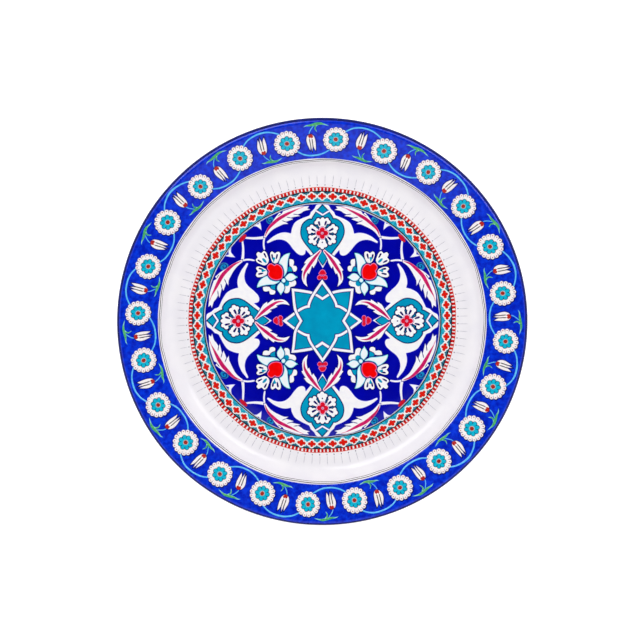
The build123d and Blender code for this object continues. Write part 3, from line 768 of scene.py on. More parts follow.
def rosette_angle(number):
    """Clockwise angle from +Y of a rim rosette, with the painter's slow drift in the spacing."""
    turn = 360 / ROSETTE_COUNT * number
    drift = ROSETTE_DRIFT * math.sin(math.radians(turn - ROSETTE_DRIFT_START))
    drift -= CROWDING * math.exp(-(((turn - CROWDED_AT) / CROWDED_SPAN) ** 2))
    return math.radians(ROSETTE_FIRST + turn + drift)


def rosette_spots():
    """Where each rosette lies, turned a little differently each time."""
    spots = []
    for number in range(ROSETTE_COUNT):
        angle = rosette_angle(number)
        reach = ROSETTE_CIRCLE + (ROSETTE_STAGGER if number % 2 == 0 else -ROSETTE_STAGGER)
        turn = RANDOM.uniform(0, 2 * math.pi)
        size = RANDOM.uniform(0.97, 1.03)

        def spot(points, angle=angle, reach=reach, turn=turn, size=size):
            c, s = math.cos(turn) * size, math.sin(turn) * size
            u = points[:, :1] * c - points[:, 1:] * s
            v = points[:, :1] * s + points[:, 1:] * c
            outward = np.array((math.sin(angle), math.cos(angle)))
            clockwise = np.array((outward[1], -outward[0]))
            return u * clockwise + (reach + v) * outward

        spots.append(spot)
    return spots


def gap_spots():
    """Places midway between rosettes. Every second one is turned inward."""
    spots = []
    for number in range(ROSETTE_COUNT):
        middle = (rosette_angle(number) + rosette_angle(number + 1)) / 2
        if number == ROSETTE_COUNT - 1:
            middle = (rosette_angle(number) + rosette_angle(0) + 2 * math.pi) / 2
        side = 1 if number % 2 == 0 else -1
        sway_u, sway_v = RANDOM.uniform(-0.35, 0.35, 2)

        def spot(points, middle=middle, side=side, sway_u=sway_u, sway_v=sway_v):
            angle = middle + (points[:, 0] + sway_u) / ROSETTE_CIRCLE
            reach = ROSETTE_CIRCLE + side * points[:, 1] + sway_v
            return np.stack([reach * np.sin(angle), reach * np.cos(angle)], 1)

        spots.append(spot)
    return spots


def ray(turn):
    """A step of 1 mm in a direction given as a fraction of a full turn."""
    return np.array((math.cos(2 * math.pi * turn), math.sin(2 * math.pi * turn)))


def cast(spot):
    """A spot moved a little to the lower right, for a shadow."""
    return lambda points: spot(points) + np.array((0.22, -0.26))


def rosettes():
    """Rim rosettes: shadow, sixteen petals, slits and dots, a turquoise heart and a brown eye."""
    spots = rosette_spots()
    petals = rosette_outline(PETAL_COUNT, PETAL_CIRCLE, PETAL_RADIUS, steps=256)
    dark = rosette_outline(PETAL_COUNT, PETAL_CIRCLE, PETAL_RADIUS + 0.4, steps=128)
    laid("rosette_shadows", SHADOW_NAVY, "edge_cobalt",
         (dome(dark, 0.09, 0.4, 2.5), GROUND, [cast(spot) for spot in spots]))
    laid("rosette_petals", PETAL, "white_enamel", (dome(petals, 0.3, 0.9, 0.9), GROUND, spots),
         nodes=["rosette_petals"])

    slits = Piece("rosette_slits")
    dots = Piece("rosette_dots")
    for k in range(PETAL_COUNT):
        between = ray((k + 0.5) / PETAL_COUNT)
        line = stroke(curve([between * 6.7, between * 9.1], 0.4), lambda t: 0.25 + 0.35 * t, FLAT)
        slits.add(line, GROUND + 0.29, spots)
        dot = ellipse(8.15 * ray(k / PETAL_COUNT), 0.5, 0.42, steps=14)
        dots.add(dome(dot, 0.09, 0.2, 0.4), GROUND + 0.28, spots)
    slits.finish(SLIT_GREY, "line_black")
    dots.finish(DOT_BROWN, "eye_brown")

    laid("rosette_hearts", HEART_TURQUOISE, "turquoise",
         (dome(rosette_outline(8, 3.9, 1.75, steps=128), 0.2, 0.8, 0.8), GROUND + 0.27, spots),
         nodes=["rosette_hearts"])
    folds = []
    for k in range(8):
        between = ray((k + 0.5) / 8)
        fold = stroke(curve([between * 3.0, between * 4.7], 0.4), lambda t: 0.3 + 0.3 * t, 0.06)
        folds.append((fold, GROUND + 0.46, spots))
    laid("rosette_heart_folds", TEAL_LINE, "turquoise", *folds)
    laid("rosette_collars", COLLAR, "white_enamel",
         (dome(ellipse((0, 0), 1.95, 1.95, steps=36), 0.12, 0.3, 0.7), GROUND + 0.46, spots))
    laid("rosette_eyes", EYE_BROWN, "eye_brown",
         (dome(ellipse((0, 0), 1.5, 1.45, steps=32), 0.2, 0.6, 0.6), GROUND + 0.56, spots),
         nodes=["rosette_eyes"])


def rim_sprays():
    """Vines, green leaves and three petalled tulips between the rosettes."""
    spots = gap_spots()
    arch = curve([(-13.4, 5.6), (-12.1, 7.0), (-9.7, 8.7), (-6.9, 10.2), (-2.4, 11.4), (1.6, 11.6),
                  (5.4, 11.3), (8.8, 10.3), (11.8, 8.8), (14.5, 7.0), (15.4, 5.8)], 0.6)
    stalk = curve([(-1.0, -4.2), (-0.3, -6.2), (1.0, -8.2), (2.4, -9.9)], 0.5)
    laid("rim_vines", VINE, "vine_blue",
         (stroke(arch, lambda t: 1.0 + 0.3 * np.sin(math.pi * t), 0.2), GROUND, spots),
         (stroke(stalk, 0.75, 0.18, tip=0.7), GROUND, spots), nodes=["vine_arches"])

    leaf = curve([(-4.6, -9.4), (-2.6, -10.3), (0.3, -10.4), (4.2, -11.1), (7.6, -11.4), (12.4, -10.2)], 0.5)
    spur = curve([(5.4, -11.0), (3.9, -9.7), (3.3, -8.0), (4.4, -5.6)], 0.5)
    laid("rim_green_leaves", SPRIG, "sprig_green",
         (stroke(leaf, lambda t: 0.45 + 1.5 * np.sin(math.pi * t) ** 1.6, 0.26, tip=0.3), GROUND, spots),
         (stroke(spur, lambda t: 1.35 - 0.75 * t, 0.24, tip=0.3), GROUND, spots), nodes=["vine_sprigs"])

    cup = outline(
        [(-0.8, -4.1), (-2.9, -3.0), (-4.1, -0.2), (-3.8, 2.8), (-2.6, 5.6), (-1.2, 8.5)],
        [(-0.9, 6.2), (-0.8, 4.4)],
        [(-0.1, 6.8), (0.5, 9.5)],
        [(1.0, 6.6), (1.3, 4.4)],
        [(2.3, 6.6), (3.8, 8.7)],
        [(4.1, 5.0), (3.9, 1.0), (2.8, -2.6), (0.8, -4.3)],
        [(-0.8, -4.1)],
    )
    cup = cup * TULIP_SIZE + (0, 0.1)
    laid("tulip_shadows", SHADOW_NAVY, "edge_cobalt", (stroke(cup, 0.9, 0.08, closed=True), GROUND, spots))
    laid("rim_tulips", PETAL, "white_enamel", (dome(cup, 0.26, 0.7, 0.8), GROUND, spots), nodes=["tulips"])
    slits = []
    for run in ([(-1.2, -0.8), (-0.95, 1.8), (-0.4, 5.7)], [(0.75, -0.9), (0.95, 2.0), (1.35, 5.9)]):
        slit = stroke(curve(run, 0.4), lambda t: 0.75 - 0.15 * t, 0.06, tip=0.4)
        slits.append((slit, GROUND + 0.26, spots))
    laid("tulip_slits", DARK_LINE, "line_black", *slits)
    base = outline([(-0.7, -4.2), (-2.2, -3.1), (-2.1, -1.6), (-1.2, -0.5)], [(-0.2, -1.4), (0.9, -0.6)],
                   [(2.0, -1.8), (1.6, -3.4), (0.5, -4.3)], [(-0.7, -4.2)])
    base = base * (0.8, 0.85) - (0, 0.5)
    laid("tulip_bases", TULIP_RED, "tulip_red", (dome(base, 0.12, 0.4, 0.6), GROUND + 0.24, spots),
         nodes=["tulip_spears"])


# ---------------------------------------------------------------- medallion

MEDALLION_STRETCH = np.array((0.974, 1.02))
MEDALLION_LIMIT = MEDALLION_RADIUS - 0.5
MEDALLION_SHIFT = np.array((0.1, 0.0))
OUTER_STRETCH = 0.036
OUTER_STRETCH_SPAN = (62, 84)
DIAGONAL = (1, 1)
# heights of what lies on the palmettes, on their turquoise fields and on the cobalt
FIELD_LIFT = GROUND + 0.27
ON_FIELD = FIELD_LIFT + 0.14
LEAF_LIFT = GROUND + 0.2


def ramp(values, start, end):
    """A smooth step from 0 to 1."""
    t = np.clip((values - start) / (end - start), 0, 1)
    return t * t * (3 - 2 * t)


def medallion_spot(sign_x, sign_y, swap):
    """One of the repeats of a motif drawn above the centre."""

    def spot(points):
        turned = points * (sign_x, sign_y)
        if swap:
            turned = turned[:, ::-1]
        reach = ramp(np.abs(turned[:, :1]), *OUTER_STRETCH_SPAN)
        turned = turned * (MEDALLION_STRETCH + reach * (OUTER_STRETCH, 0)) + MEDALLION_SHIFT
        radius = np.hypot(turned[:, :1], turned[:, 1:])
        return turned * np.minimum(1, MEDALLION_LIMIT / np.maximum(radius, 1e-9))

    return spot


ALL_EIGHT = [medallion_spot(x, y, swap) for x in (1, -1) for y in (1, -1) for swap in (False, True)]
ON_AXES = [medallion_spot(1, y, swap) for y in (1, -1) for swap in (False, True)]
ON_DIAGONALS = [medallion_spot(x, y, False) for x in (1, -1) for y in (1, -1)]

PALMETTE = half_runs(
    [(0, 84.6), (4.3, 83.9), (6.3, 81.0), (8.8, 78.7)],
    [(9.3, 77.3), (10.0, 76.2)],
    [(16.0, 73.7), (20.6, 70.8), (22.9, 66.8), (23.8, 63.3)],
    [(27.7, 63.9), (31.8, 63.3), (36.5, 61.2), (39.6, 58.9), (41.8, 57.0)],
    [(41.2, 55.9)],
    [(39.6, 56.5), (36.5, 57.9), (32.5, 58.6), (28.3, 57.7), (24.9, 55.2), (21.8, 51.4), (18.6, 48.2),
     (15.6, 47.2), (13.4, 48.2), (12.7, 51.1)],
    [(8.6, 46.6)],
    [(4.6, 45.3), (0, 37.9)],
)
FIELD = half_runs(
    [(0, 84.0), (3.6, 80.2), (5.6, 77.7), (7.4, 75.1), (7.9, 73.6)],
    [(10.1, 73.6), (12.9, 71.9), (15.0, 69.4), (16.0, 66.4), (16.2, 63.4), (15.3, 60.1), (12.9, 56.1),
     (9.8, 52.1), (6.9, 48.4)],
    [(3.0, 50.0), (0, 51.6)],
)
DIAMOND = half_runs([(0, 50.6), (1.8, 48.2), (3.2, 45.3)], [(1.8, 42.7), (0, 40.4)])
SMALL_LEAF = outline(
    [(1.5, 51.9), (5.0, 49.3), (8.8, 46.6), (11.9, 44.4), (14.1, 41.3)],
    [(12.7, 41.2)],
    [(14.7, 38.5), (16.0, 36.5)],
    [(14.8, 36.1)],
    [(15.4, 32.8), (15.4, 30.0), (14.1, 26.9), (10.9, 24.1)],
    [(11.8, 28.3), (11.8, 31.1), (10.9, 34.5)],
    [(10.1, 33.4)],
    [(8.8, 36.2), (7.7, 39.4)],
    [(6.9, 37.6)],
    [(4.3, 41.8), (3.6, 44.4), (2.2, 47.4), (1.1, 48.8), (0.2, 50.8)],
    [(1.5, 51.9)],
)
SMALL_MIDRIB = [(0.8, 51.1), (4.3, 47.4), (7.7, 43.1), (11.2, 38.1), (13.5, 34.0), (13.9, 28.9)]
LONG_LEAF = outline(
    [(44.3, 60.0), (43.3, 63.4), (41.2, 67.4), (38.3, 70.8), (36.8, 73.0), (35.3, 75.0), (33.0, 77.5),
     (32.1, 78.4)],
    [(30.6, 77.3)],
    [(29.4, 79.2)],
    [(25.9, 80.4), (22.4, 81.6), (17.7, 82.6), (13.8, 82.7), (9.6, 83.0)],
    [(11.2, 81.2)],
    [(8.4, 80.4)],
    [(13.5, 79.2), (15.6, 77.8), (18.3, 76.5)],
    [(15.8, 75.7)],
    [(19.4, 75.0), (23.6, 74.1)],
    [(21.2, 73.3)],
    [(24.7, 72.1), (27.4, 71.3)],
    [(25.0, 69.9)],
    [(28.9, 69.6), (31.8, 68.4), (35.3, 66.7), (38.3, 64.8), (40.6, 62.5), (42.4, 60.0)],
    [(44.3, 60.0)],
)
LONG_MIDRIB = [(43.3, 60.6), (41.2, 65.7), (37.7, 69.6), (33.0, 73.5), (27.7, 76.3), (22.4, 78.8),
               (17.7, 81.0), (14.1, 82.2)]
LEAF_BARBS = [((27.0, 71.3), (30.4, 72.4)), ((23.2, 74.1), (26.9, 74.8)), ((17.9, 76.5), (21.8, 76.9)),
              ((30.9, 77.3), (33.6, 75.6)), ((12.6, 41.1), (11.6, 42.6)), ((14.6, 36.0), (13.4, 37.6))]
HALF_PALMETTE = outline(
    [(45.2, 64.4), (45.6, 68.0), (46.5, 71.8)],
    [(47.5, 69.0)],
    [(50.5, 69.0), (53.4, 66.9)],
    [(49.5, 67.4), (47.0, 66.0), (45.2, 64.4)],
)

POMEGRANATE_HALF = half_runs(
    [(30.3, 30.3), (29.3, 34.5), (30.0, 38.2), (32.1, 40.8), (34.5, 41.4), (36.0, 40.6)],
    [(37.5, 41.7), (39.3, 41.9), (40.9, 40.9)],
)
SIDE_PETAL = outline(
    [(33.3, 41.9), (31.8, 44.7), (31.3, 48.7), (32.7, 50.3), (34.5, 49.9), (35.6, 49.0)],
    [(37.7, 50.3), (39.3, 49.2), (39.3, 46.4), (38.0, 43.0), (37.1, 41.9)],
    [(35.2, 41.2), (33.3, 41.9)],
)
CORNER_PETAL_HALF = half_runs(
    [(41.0, 41.0), (39.9, 43.6), (40.6, 46.4), (41.8, 49.2), (43.9, 50.6), (46.0, 49.0)],
    [(48.0, 49.9), (49.3, 49.3)],
)
SEPAL_OUTLINE = outline(
    [(24.0, 49.4), (26.5, 49.1), (29.4, 47.5), (31.8, 44.4), (33.0, 41.6)],
    [(30.3, 39.6), (29.0, 35.7), (29.3, 31.7)],
    [(27.7, 33.1), (26.2, 36.2), (25.9, 40.8), (25.3, 45.3), (24.0, 49.4)],
)
LOWER_LEAF = outline(
    [(17.7, 31.4), (19.8, 32.5), (22.4, 34.3), (25.2, 34.2), (27.4, 32.6), (28.6, 31.4)],
    [(28.0, 30.4)],
    [(26.2, 28.9), (23.8, 28.4), (21.4, 29.2), (19.3, 30.7), (17.7, 31.4)],
)
OUTER_LOBES = outline(
    [(24.9, 45.2), (23.4, 45.0), (21.8, 44.4), (21.1, 42.5), (21.5, 40.2)],
    [(19.4, 39.6), (18.7, 37.6), (19.4, 35.7), (20.9, 35.1)],
    [(22.7, 36.0), (24.4, 38.6), (25.1, 42.0), (24.9, 45.2)],
)
OUTER_HEART = outline(
    [(21.9, 35.3), (22.6, 37.2), (23.5, 38.8), (25.0, 39.4), (26.0, 38.0)],
    [(26.3, 35.4), (24.0, 35.4), (21.9, 35.3)],
)
INNER_LOBES_HALF = half_runs(
    [(25.2, 28.7), (23.3, 29.4), (21.5, 29.6), (19.8, 28.6), (19.7, 26.4), (21.0, 24.8)],
    [(22.6, 24.5), (24.2, 24.2)],
)
INNER_HEART = (27.0, 27.0)
BUTTON = (29.2, 29.2)
CARNATION_SLITS = (((33.7, 48.3), (34.5, 44.6)), ((37.9, 48.0), (37.2, 44.4)), ((43.9, 48.8), (42.2, 45.6)))
CURL = (39.4, 72.6)

STAR_CARDINAL = [(0, 28.6), (4.6, 22.2), (8.4, 16.6), (10.2, 12.9), (10.6, 10.6)]
STAR_DIAGONAL = [(0, 15.9), (5.0, 19.0), (9.0, 20.6), (16.0, 21.7), (22.3, 22.4)]
WEAVE = 0.17


def octants(run):
    """A closed path from its first octant, mirrored and turned round the centre."""
    eighth = curve(run, 0.4)
    quarter = np.vstack([eighth[:-1], eighth[::-1, ::-1]])
    path = []
    for turn in range(4):
        c, s = round(math.cos(turn * math.pi / 2)), round(math.sin(turn * math.pi / 2))
        x, y = quarter[:-1, 0], quarter[:-1, 1]
        path.append(np.stack([x * c + y * s, y * c - x * s], 1))
    return np.vstack(path)


def around_star(path):
    """A star path's distance from the centre at evenly spaced angles."""
    angle = np.linspace(0, 2 * math.pi, 721)[:-1]
    own = np.mod(np.arctan2(path[:, 0], path[:, 1]), 2 * math.pi)
    order = np.argsort(own)
    return angle, np.interp(angle, own[order], np.hypot(path[:, 0], path[:, 1])[order], period=2 * math.pi)


def star():
    """The turquoise star and its two woven white bands."""
    whole = [medallion_spot(1, 1, False)]
    cardinal, diagonal = octants(STAR_CARDINAL), octants(STAR_DIAGONAL)
    angle, first = around_star(cardinal)
    second = around_star(diagonal)[1]
    reach = np.maximum(first, second)
    union = reach[:, None] * np.stack([np.sin(angle), np.cos(angle)], 1)
    laid("star_turquoise_field", TURQUOISE, "turquoise", (dome(union, 0.2, 0.5, 1.6), GROUND, whole),
         nodes=["star_field"])

    def over(sign, base):
        def lift(points):
            turn = np.arctan2(points[:, 0], points[:, 1])
            return base + sign * WEAVE * np.cos(2 * turn)

        return lift

    edges = Piece("star_band_edges")
    bands = Piece("star_bands")
    for path, sign in ((cardinal, 1), (diagonal, -1)):
        edges.add(stroke(path, 3.1, 0.08, closed=True), over(sign, GROUND + 0.34), whole)
        bands.add(stroke(path, 2.15, 0.24, closed=True), over(sign, GROUND + 0.36), whole)
    edges.finish(TEAL_LINE, "line_black")
    bands.finish(ENAMEL, "white_enamel", "star_bands")

    bead = lobed((0, 31.4), [(0, 31.4, 1.45), (-2.2, 31.4, 1.75), (2.2, 31.4, 1.75)], 72)
    cap = mirrored(half_runs([(0, 37.2), (1.3, 36.8), (2.3, 35.5), (3.0, 34.2), (2.3, 33.3)], [(0, 33.0)]))
    laid("finial_beads", FINIAL_RED, "crimson", (dome(bead, 0.3, 0.7, 0.8), GROUND, ON_AXES),
         (dome(cap, 0.3, 0.6, 0.7), GROUND, ON_AXES), nodes=["finials"])


ROSETTE_CENTRE = (0, 63.4)


def cartouche_rosette():
    """Petals of a cartouche rosette about its own centre, each seen from a point inside it."""
    top = [(0, 4.4, 2.2), (0, 6.7, 3.5), (0, 10.0, 1.75), (3.3, 9.6, 1.75), (-3.3, 9.6, 1.75),
           (4.7, 7.8, 1.7), (-4.7, 7.8, 1.7)]
    upper = [(4.3, 1.9, 2.0), (6.4, 2.6, 2.8), (7.9, 4.9, 1.8), (10.1, 3.2, 1.8), (9.3, 0.9, 1.7)]
    lower = [(4.0, -2.3, 2.0), (6.1, -3.9, 2.8), (8.9, -2.8, 1.7), (8.9, -5.9, 1.8), (5.9, -7.2, 1.8)]
    bottom = [(0, -5.2, 2.3), (0, -7.4, 3.2), (2.4, -8.9, 1.8), (-2.4, -8.9, 1.8), (0, -10.2, 1.9)]
    petals = [lobed((0, 7.6), top, 120), lobed((0, -7.6), bottom, 120)]
    for centre, discs in (((7.1, 2.7), upper), ((6.7, -4.3), lower)):
        shape = lobed(centre, discs, 120)
        petals += [shape, shape * (-1, 1)]
    return petals


PETAL_SLITS = [((2.9, 8.7), (1.8, 5.5)), ((8.1, 3.1), (4.9, 1.4)), ((6.6, -4.9), (3.9, -2.6))]


def cartouches():
    """White palmettes, turquoise fields, their rosettes and hearts."""
    laid("cartouche_palmettes", ENAMEL, "white_enamel",
         (dome(mirrored(PALMETTE), 0.28, 0.9, 1.3), GROUND, ON_AXES), nodes=["cartouche_palmettes"])
    laid("cartouche_fields", TURQUOISE, "turquoise",
         (dome(mirrored(FIELD), 0.15, 0.5, 1.3), FIELD_LIFT, ON_AXES),
         (dome(mirrored(DIAMOND), 0.15, 0.5, 1.0), FIELD_LIFT, ON_AXES), nodes=["cartouche_fields"])
    laid("cartouche_outlines", FIELD_LINE, "line_black",
         (stroke(mirrored(FIELD), 0.85, FLAT, closed=True), ON_FIELD, ON_AXES),
         (stroke(mirrored(DIAMOND), 0.7, FLAT, closed=True), ON_FIELD, ON_AXES))

    chevrons = Piece("cartouche_chevrons")
    chevron_lines = Piece("cartouche_chevron_outlines")
    vee = curve([(-4.9, 79.5), (-2.2, 77.9), (0, 76.5)], 0.4)
    for side in (1, -1):
        chevron_lines.add(stroke(vee * (side, 1), 2.5, 0.1), ON_FIELD, ON_AXES)
        chevrons.add(stroke(vee * (side, 1), 1.5, 0.2), ON_FIELD + 0.06, ON_AXES)
    chevron_lines.finish(FIELD_LINE, "line_black")
    chevrons.finish(ENAMEL, "white_enamel")

    petals = Piece("cartouche_rosettes")
    rims = Piece("cartouche_petal_outlines")
    for shape in cartouche_rosette():
        petals.add(dome(shape + ROSETTE_CENTRE, 0.26, 0.7, 0.8), ON_FIELD, ON_AXES)
        rims.add(stroke(shape + ROSETTE_CENTRE, 0.85, FLAT, closed=True), ON_FIELD + 0.2, ON_AXES)
    petals.finish(ENAMEL, "white_enamel", "cartouche_rosettes")
    rims.finish(PETAL_LINE, "line_black")
    slits = []
    for start, end in PETAL_SLITS:
        for side in (1, -1):
            path = curve([start, end], 0.4) * (side, 1) + ROSETTE_CENTRE
            slits.append((stroke(path, lambda t: 1.8 - 0.6 * t, 0.06, tip=0.7), ON_FIELD + 0.27, ON_AXES))
    pit = ellipse((0, -6.9), 0.5, 0.55, steps=20) + ROSETTE_CENTRE
    slits.append((dome(pit, 0.12, 0.3, 0.4), ON_FIELD + 0.25, ON_AXES))
    laid("cartouche_petal_slits", VIOLET_LINE, "line_black", *slits)

    collar = dome(rosette_outline(4, 2.5, 2.6, steps=96) + ROSETTE_CENTRE, 0.2, 0.6, 0.9)
    heart = dome(rosette_outline(4, 2.45, 1.9, steps=96) + ROSETTE_CENTRE, 0.2, 0.6, 0.8)
    pip = dome(ellipse(ROSETTE_CENTRE, 1.15, 1.1, steps=28), 0.12, 0.3, 0.5)
    dot = dome(ellipse(ROSETTE_CENTRE, 0.5, 0.5, steps=16), 0.1, 0.2, 0.4)
    laid("cartouche_heart_collars", HEART_PINK, "white_enamel", (collar, ON_FIELD + 0.2, ON_AXES))
    laid("cartouche_hearts", HEART_RED, "crimson", (heart, ON_FIELD + 0.38, ON_AXES),
         nodes=["cartouche_hearts"])
    laid("cartouche_heart_pips", HEART_PINK, "white_enamel", (pip, ON_FIELD + 0.55, ON_AXES))
    laid("cartouche_heart_dots", HEART_RED, "crimson", (dot, ON_FIELD + 0.66, ON_AXES))


def saz_leaves():
    """Feathered leaves with crimson midribs, the stems, curls, buds and half palmettes."""
    laid("saz_leaves", ENAMEL, "white_enamel", (dome(SMALL_LEAF, 0.28, 0.7, 0.9), FIELD_LIFT, ALL_EIGHT),
         (dome(LONG_LEAF, 0.28, 0.7, 1.1), LEAF_LIFT, ALL_EIGHT), nodes=["saz_leaves"])
    lines = [(stroke(SMALL_LEAF, 0.55, FLAT, closed=True), FIELD_LIFT + 0.16, ALL_EIGHT),
             (stroke(LONG_LEAF, 0.45, FLAT, closed=True), LEAF_LIFT + 0.1, ALL_EIGHT)]
    for barb in LEAF_BARBS:
        lines.append((stroke(curve(barb, 0.4), 0.6, 0.06, tip=0.3), LEAF_LIFT + 0.27, ALL_EIGHT))
    laid("saz_leaf_outlines", NAVY_LINE, "line_black", *lines)

    def swelling(thin, swell, stretch):
        return lambda t: thin + swell * np.sin(math.pi * np.minimum(stretch * t, 1))

    small = stroke(curve(SMALL_MIDRIB), swelling(0.7, 2.0, 1.05), 0.16, tip=0.4)
    large = stroke(curve(LONG_MIDRIB), swelling(0.5, 2.2, 1.1), 0.18, tip=0.4)
    laid("leaf_midribs", CRIMSON, "crimson", (small, FIELD_LIFT + 0.26, ALL_EIGHT),
         (large, LEAF_LIFT + 0.26, ALL_EIGHT), nodes=["leaf_midribs"])

    stalk = curve([(43.2, 61.0), (43.9, 57.8), (44.0, 54.8), (43.5, 51.2)])
    branch = curve([(43.4, 60.3), (47.0, 59.8), (52.0, 59.6), (59.0, 60.2)])
    laid("medallion_stems", ENAMEL, "white_enamel", (stroke(stalk, 1.5, 0.2, tip=0.7), GROUND, ALL_EIGHT),
         (stroke(branch, lambda t: 2.5 - 1.0 * t, 0.2, tip=0.8), GROUND, ALL_EIGHT),
         (dome(HALF_PALMETTE * 1.015, 0.24, 0.6, 0.8), GROUND, ALL_EIGHT), nodes=["medallion_stems"])
    bud = ellipse((59.8, 59.8), 3.7, 1.6, -math.pi / 4)
    laid("border_buds", BUD_RED, "crimson", (dome(bud, 0.3, 0.7, 0.8), GROUND + 0.12, ON_DIAGONALS),
         nodes=["border_buds"])
    laid("medallion_curls", CURL_BLUE, "curl_blue",
         (dome(ellipse(CURL, 2.9, 2.9), 0.22, 0.6, 0.8), GROUND, ALL_EIGHT), nodes=["curls"])
    turn = np.linspace(0, 2.6 * math.pi, 50)
    spiral = (0.3 + 0.26 * turn)[:, None] * np.stack([np.cos(turn), np.sin(turn)], 1) + CURL
    laid("curl_spirals", NAVY_LINE, "line_black",
         (stroke(spiral, 0.65, 0.1, tip=0.4), GROUND + 0.21, ALL_EIGHT))


def corner_flowers():
    """Pomegranate blossoms on the diagonals, with petals, sepals, leaves and lobes."""
    corner_petal = mirrored(CORNER_PETAL_HALF, DIAGONAL)
    inner_lobes = mirrored(INNER_LOBES_HALF, DIAGONAL)
    pomegranate = mirrored(POMEGRANATE_HALF, DIAGONAL)
    laid("carnation_petals", ENAMEL, "white_enamel", (dome(SIDE_PETAL, 0.28, 0.8, 0.9), GROUND, ALL_EIGHT),
         (dome(corner_petal, 0.28, 0.8, 0.9), GROUND + 0.04, ON_DIAGONALS), nodes=["carnation_petals"])
    laid("blossom_lobes", ENAMEL, "white_enamel", (dome(OUTER_LOBES, 0.26, 0.8, 0.8), GROUND, ALL_EIGHT),
         (dome(inner_lobes, 0.26, 0.8, 0.8), GROUND, ON_DIAGONALS), nodes=["blossom_lobes"])
    wedge = outline([(35.1, 45.5), (36.4, 46.0), (37.7, 45.5)], [(36.4, 42.3)], [(35.1, 45.5)])
    laid("blossom_turquoise_hearts", TURQUOISE, "turquoise",
         (dome(OUTER_HEART, 0.14, 0.4, 0.7), GROUND + 0.24, ALL_EIGHT),
         (dome(ellipse(INNER_HEART, 2.1, 2.1), 0.14, 0.4, 0.8), GROUND + 0.24, ON_DIAGONALS),
         (dome(wedge, 0.12, 0.4, 0.6), GROUND + 0.26, ALL_EIGHT),
         (dome(ellipse((43.6, 43.6), 2.2, 0.95, math.pi / 4), 0.12, 0.4, 0.6), GROUND + 0.3, ON_DIAGONALS))
    slits = []
    for run in CARNATION_SLITS:
        slit = stroke(curve(run, 0.4), lambda t: 1.6 - 0.6 * t, 0.06, tip=0.6)
        slits.append((slit, GROUND + 0.32, ALL_EIGHT))
    laid("carnation_slits", VIOLET_LINE, "line_black", *slits)

    laid("blossom_sepals", SEPAL, "sepal_cyan",
         (dome(SEPAL_OUTLINE, 0.28, 0.8, 0.8), GROUND + 0.36, ALL_EIGHT),
         (dome(LOWER_LEAF, 0.26, 0.8, 0.8), GROUND + 0.4, ALL_EIGHT), nodes=["sepals"])
    laid("pomegranates", POMEGRANATE, "pomegranate_red",
         (dome(pomegranate, 0.36, 1.2, 1.0), GROUND + 0.42, ON_DIAGONALS), nodes=["pomegranates"])
    laid("blossom_buttons", SEPAL, "sepal_cyan",
         (dome(ellipse(BUTTON, 1.75, 1.75), 0.26, 0.7, 0.6), GROUND + 0.6, ON_DIAGONALS),
         nodes=["blossom_buttons"])

    lines = []
    for shape, width, lift, spots in (
        (SIDE_PETAL, 0.8, 0.19, ALL_EIGHT),
        (corner_petal, 0.8, 0.23, ON_DIAGONALS),
        (OUTER_LOBES, 0.75, 0.17, ALL_EIGHT),
        (inner_lobes, 0.75, 0.17, ON_DIAGONALS),
        (OUTER_HEART, 0.55, 0.39, ALL_EIGHT),
        (SEPAL_OUTLINE, 0.65, 0.51, ALL_EIGHT),
        (LOWER_LEAF, 0.65, 0.55, ALL_EIGHT),
        (ellipse(BUTTON, 1.85, 1.85), 0.65, 0.75, ON_DIAGONALS),
        (pomegranate, 0.75, 0.61, ON_DIAGONALS),
    ):
        lines.append((stroke(shape, width, FLAT, closed=True), GROUND + lift, spots))
    laid("blossom_outlines", FLOWER_LINE, "line_black", *lines)


# ---------------------------------------------------------------- floor, light and camera

CAMERA_AIM = (-0.0002, 0.0008, 0.030)
CAMERA_DISTANCE = 2.47
CAMERA_TILT = math.radians(7)
HALF_VIEW = 0.2351
SENSOR = 36.0


def floor():
    """A pale sweep under the plate, clear from below so that the foot can be looked at."""
    mesh = bpy.data.meshes.new("floor")
    reach = 6.0
    corners = [(-reach, -reach, 0), (reach, -reach, 0), (reach, reach, 0), (-reach, reach, 0)]
    mesh.from_pydata(corners, [], [(0, 1, 2, 3)])
    shader = Shader("pale_floor", gloss=0.8)
    tint = shader.mix(shader.ranged(shader.noise(60), 0.3, 0.7), colour(246, 246, 246), colour(244, 244, 245))
    shader.link(tint, shader.shader.inputs["Base Color"])
    shader.shader.inputs["Specular IOR Level"].default_value = 0.1
    shader.shader.inputs["Emission Color"].default_value = (1, 1, 1, 1)
    shader.shader.inputs["Emission Strength"].default_value = 0.45
    facing = shader.tree.nodes.new("ShaderNodeNewGeometry")
    clear = shader.tree.nodes.new("ShaderNodeBsdfTransparent")
    seen = shader.tree.nodes.new("ShaderNodeMixShader")
    shader.link(facing.outputs["Backfacing"], seen.inputs["Fac"])
    shader.link(shader.shader.outputs["BSDF"], seen.inputs[1])
    shader.link(clear.outputs["BSDF"], seen.inputs[2])
    shader.link(seen.outputs["Shader"], shader.tree.nodes["Material Output"].inputs["Surface"])
    mesh.materials.append(shader.material)
    ground = bpy.data.objects.new("floor", mesh)
    bpy.context.scene.collection.objects.link(ground)


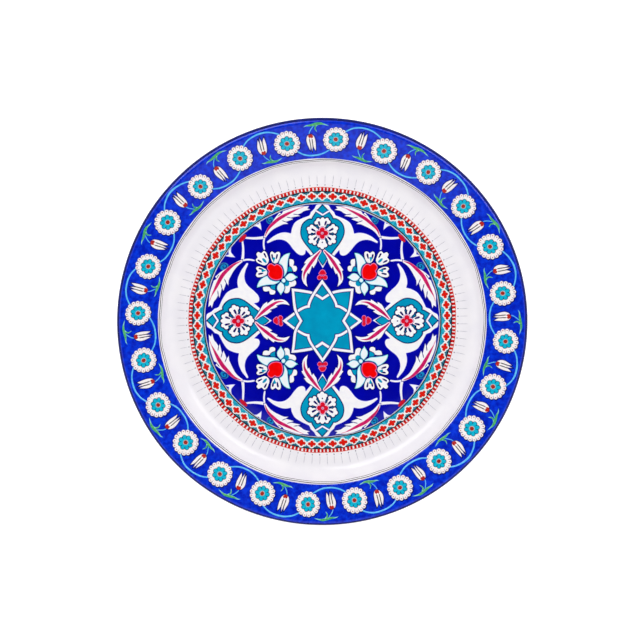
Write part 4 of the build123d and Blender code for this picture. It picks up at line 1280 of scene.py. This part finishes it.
def soft_box(name, azimuth, elevation, distance, width, height, power):
    """A rectangular area light aimed at the plate. Azimuth is clockwise from +Y."""
    a, e = math.radians(azimuth), math.radians(elevation)
    light = bpy.data.lights.new(name, "AREA")
    light.shape = "RECTANGLE"
    light.size, light.size_y, light.energy = width, height, power
    lamp = bpy.data.objects.new(name, light)
    out = distance * math.cos(e)
    lamp.location = (out * math.sin(a), out * math.cos(a), distance * math.sin(e))
    lamp.rotation_euler = (math.pi / 2 - e, 0, math.pi - a)
    bpy.context.scene.collection.objects.link(lamp)


def surround():
    """A pale dome that is dark overhead, so that level glaze keeps its deep colour."""
    world = bpy.data.worlds.new("surround")
    world.use_nodes = True
    nodes, links = world.node_tree.nodes, world.node_tree.links
    direction = nodes.new("ShaderNodeTexCoord")
    parts = nodes.new("ShaderNodeSeparateXYZ")
    fade = nodes.new("ShaderNodeMapRange")
    for key, value in (("From Min", 0.74), ("From Max", 0.82), ("To Min", 0.92), ("To Max", 0.02)):
        fade.inputs[key].default_value = value
    links.new(direction.outputs["Generated"], parts.inputs["Vector"])
    links.new(parts.outputs["Z"], fade.inputs["Value"])
    links.new(fade.outputs["Result"], nodes["Background"].inputs["Strength"])
    nodes["Background"].inputs["Color"].default_value = (1, 1, 1, 1)
    bpy.context.scene.world = world


def studio():
    """Two soft boxes, a weak light from the design's lower side, low fills, the surround and the camera."""
    soft_box("left_soft_box", 328, 54, 2.2, 1.3, 0.9, 12)
    soft_box("right_soft_box", 48, 54, 2.2, 1.3, 0.9, 10)
    soft_box("front_veil", 180, 63, 2.2, 1.1, 0.6, 1.2)
    soft_box("low_fill_left", 235, 24, 3.0, 2.4, 1.2, 7)
    soft_box("low_fill_right", 125, 24, 3.0, 2.4, 1.2, 7)
    surround()
    camera = bpy.data.objects.new("camera", bpy.data.cameras.new("camera"))
    camera.data.sensor_width = SENSOR
    camera.data.lens = SENSOR / 2 * CAMERA_DISTANCE / HALF_VIEW
    toward = (0, math.sin(CAMERA_TILT), math.cos(CAMERA_TILT))
    camera.location = [aim + CAMERA_DISTANCE * step for aim, step in zip(CAMERA_AIM, toward)]
    camera.rotation_euler = (-CAMERA_TILT, 0, 0)
    bpy.context.scene.collection.objects.link(camera)
    bpy.context.scene.camera = camera
    bpy.context.scene.view_settings.view_transform = "Standard"


coats()
border()
rosettes()
rim_sprays()
cartouches()
saz_leaves()
corner_flowers()
star()
floor()
studio()
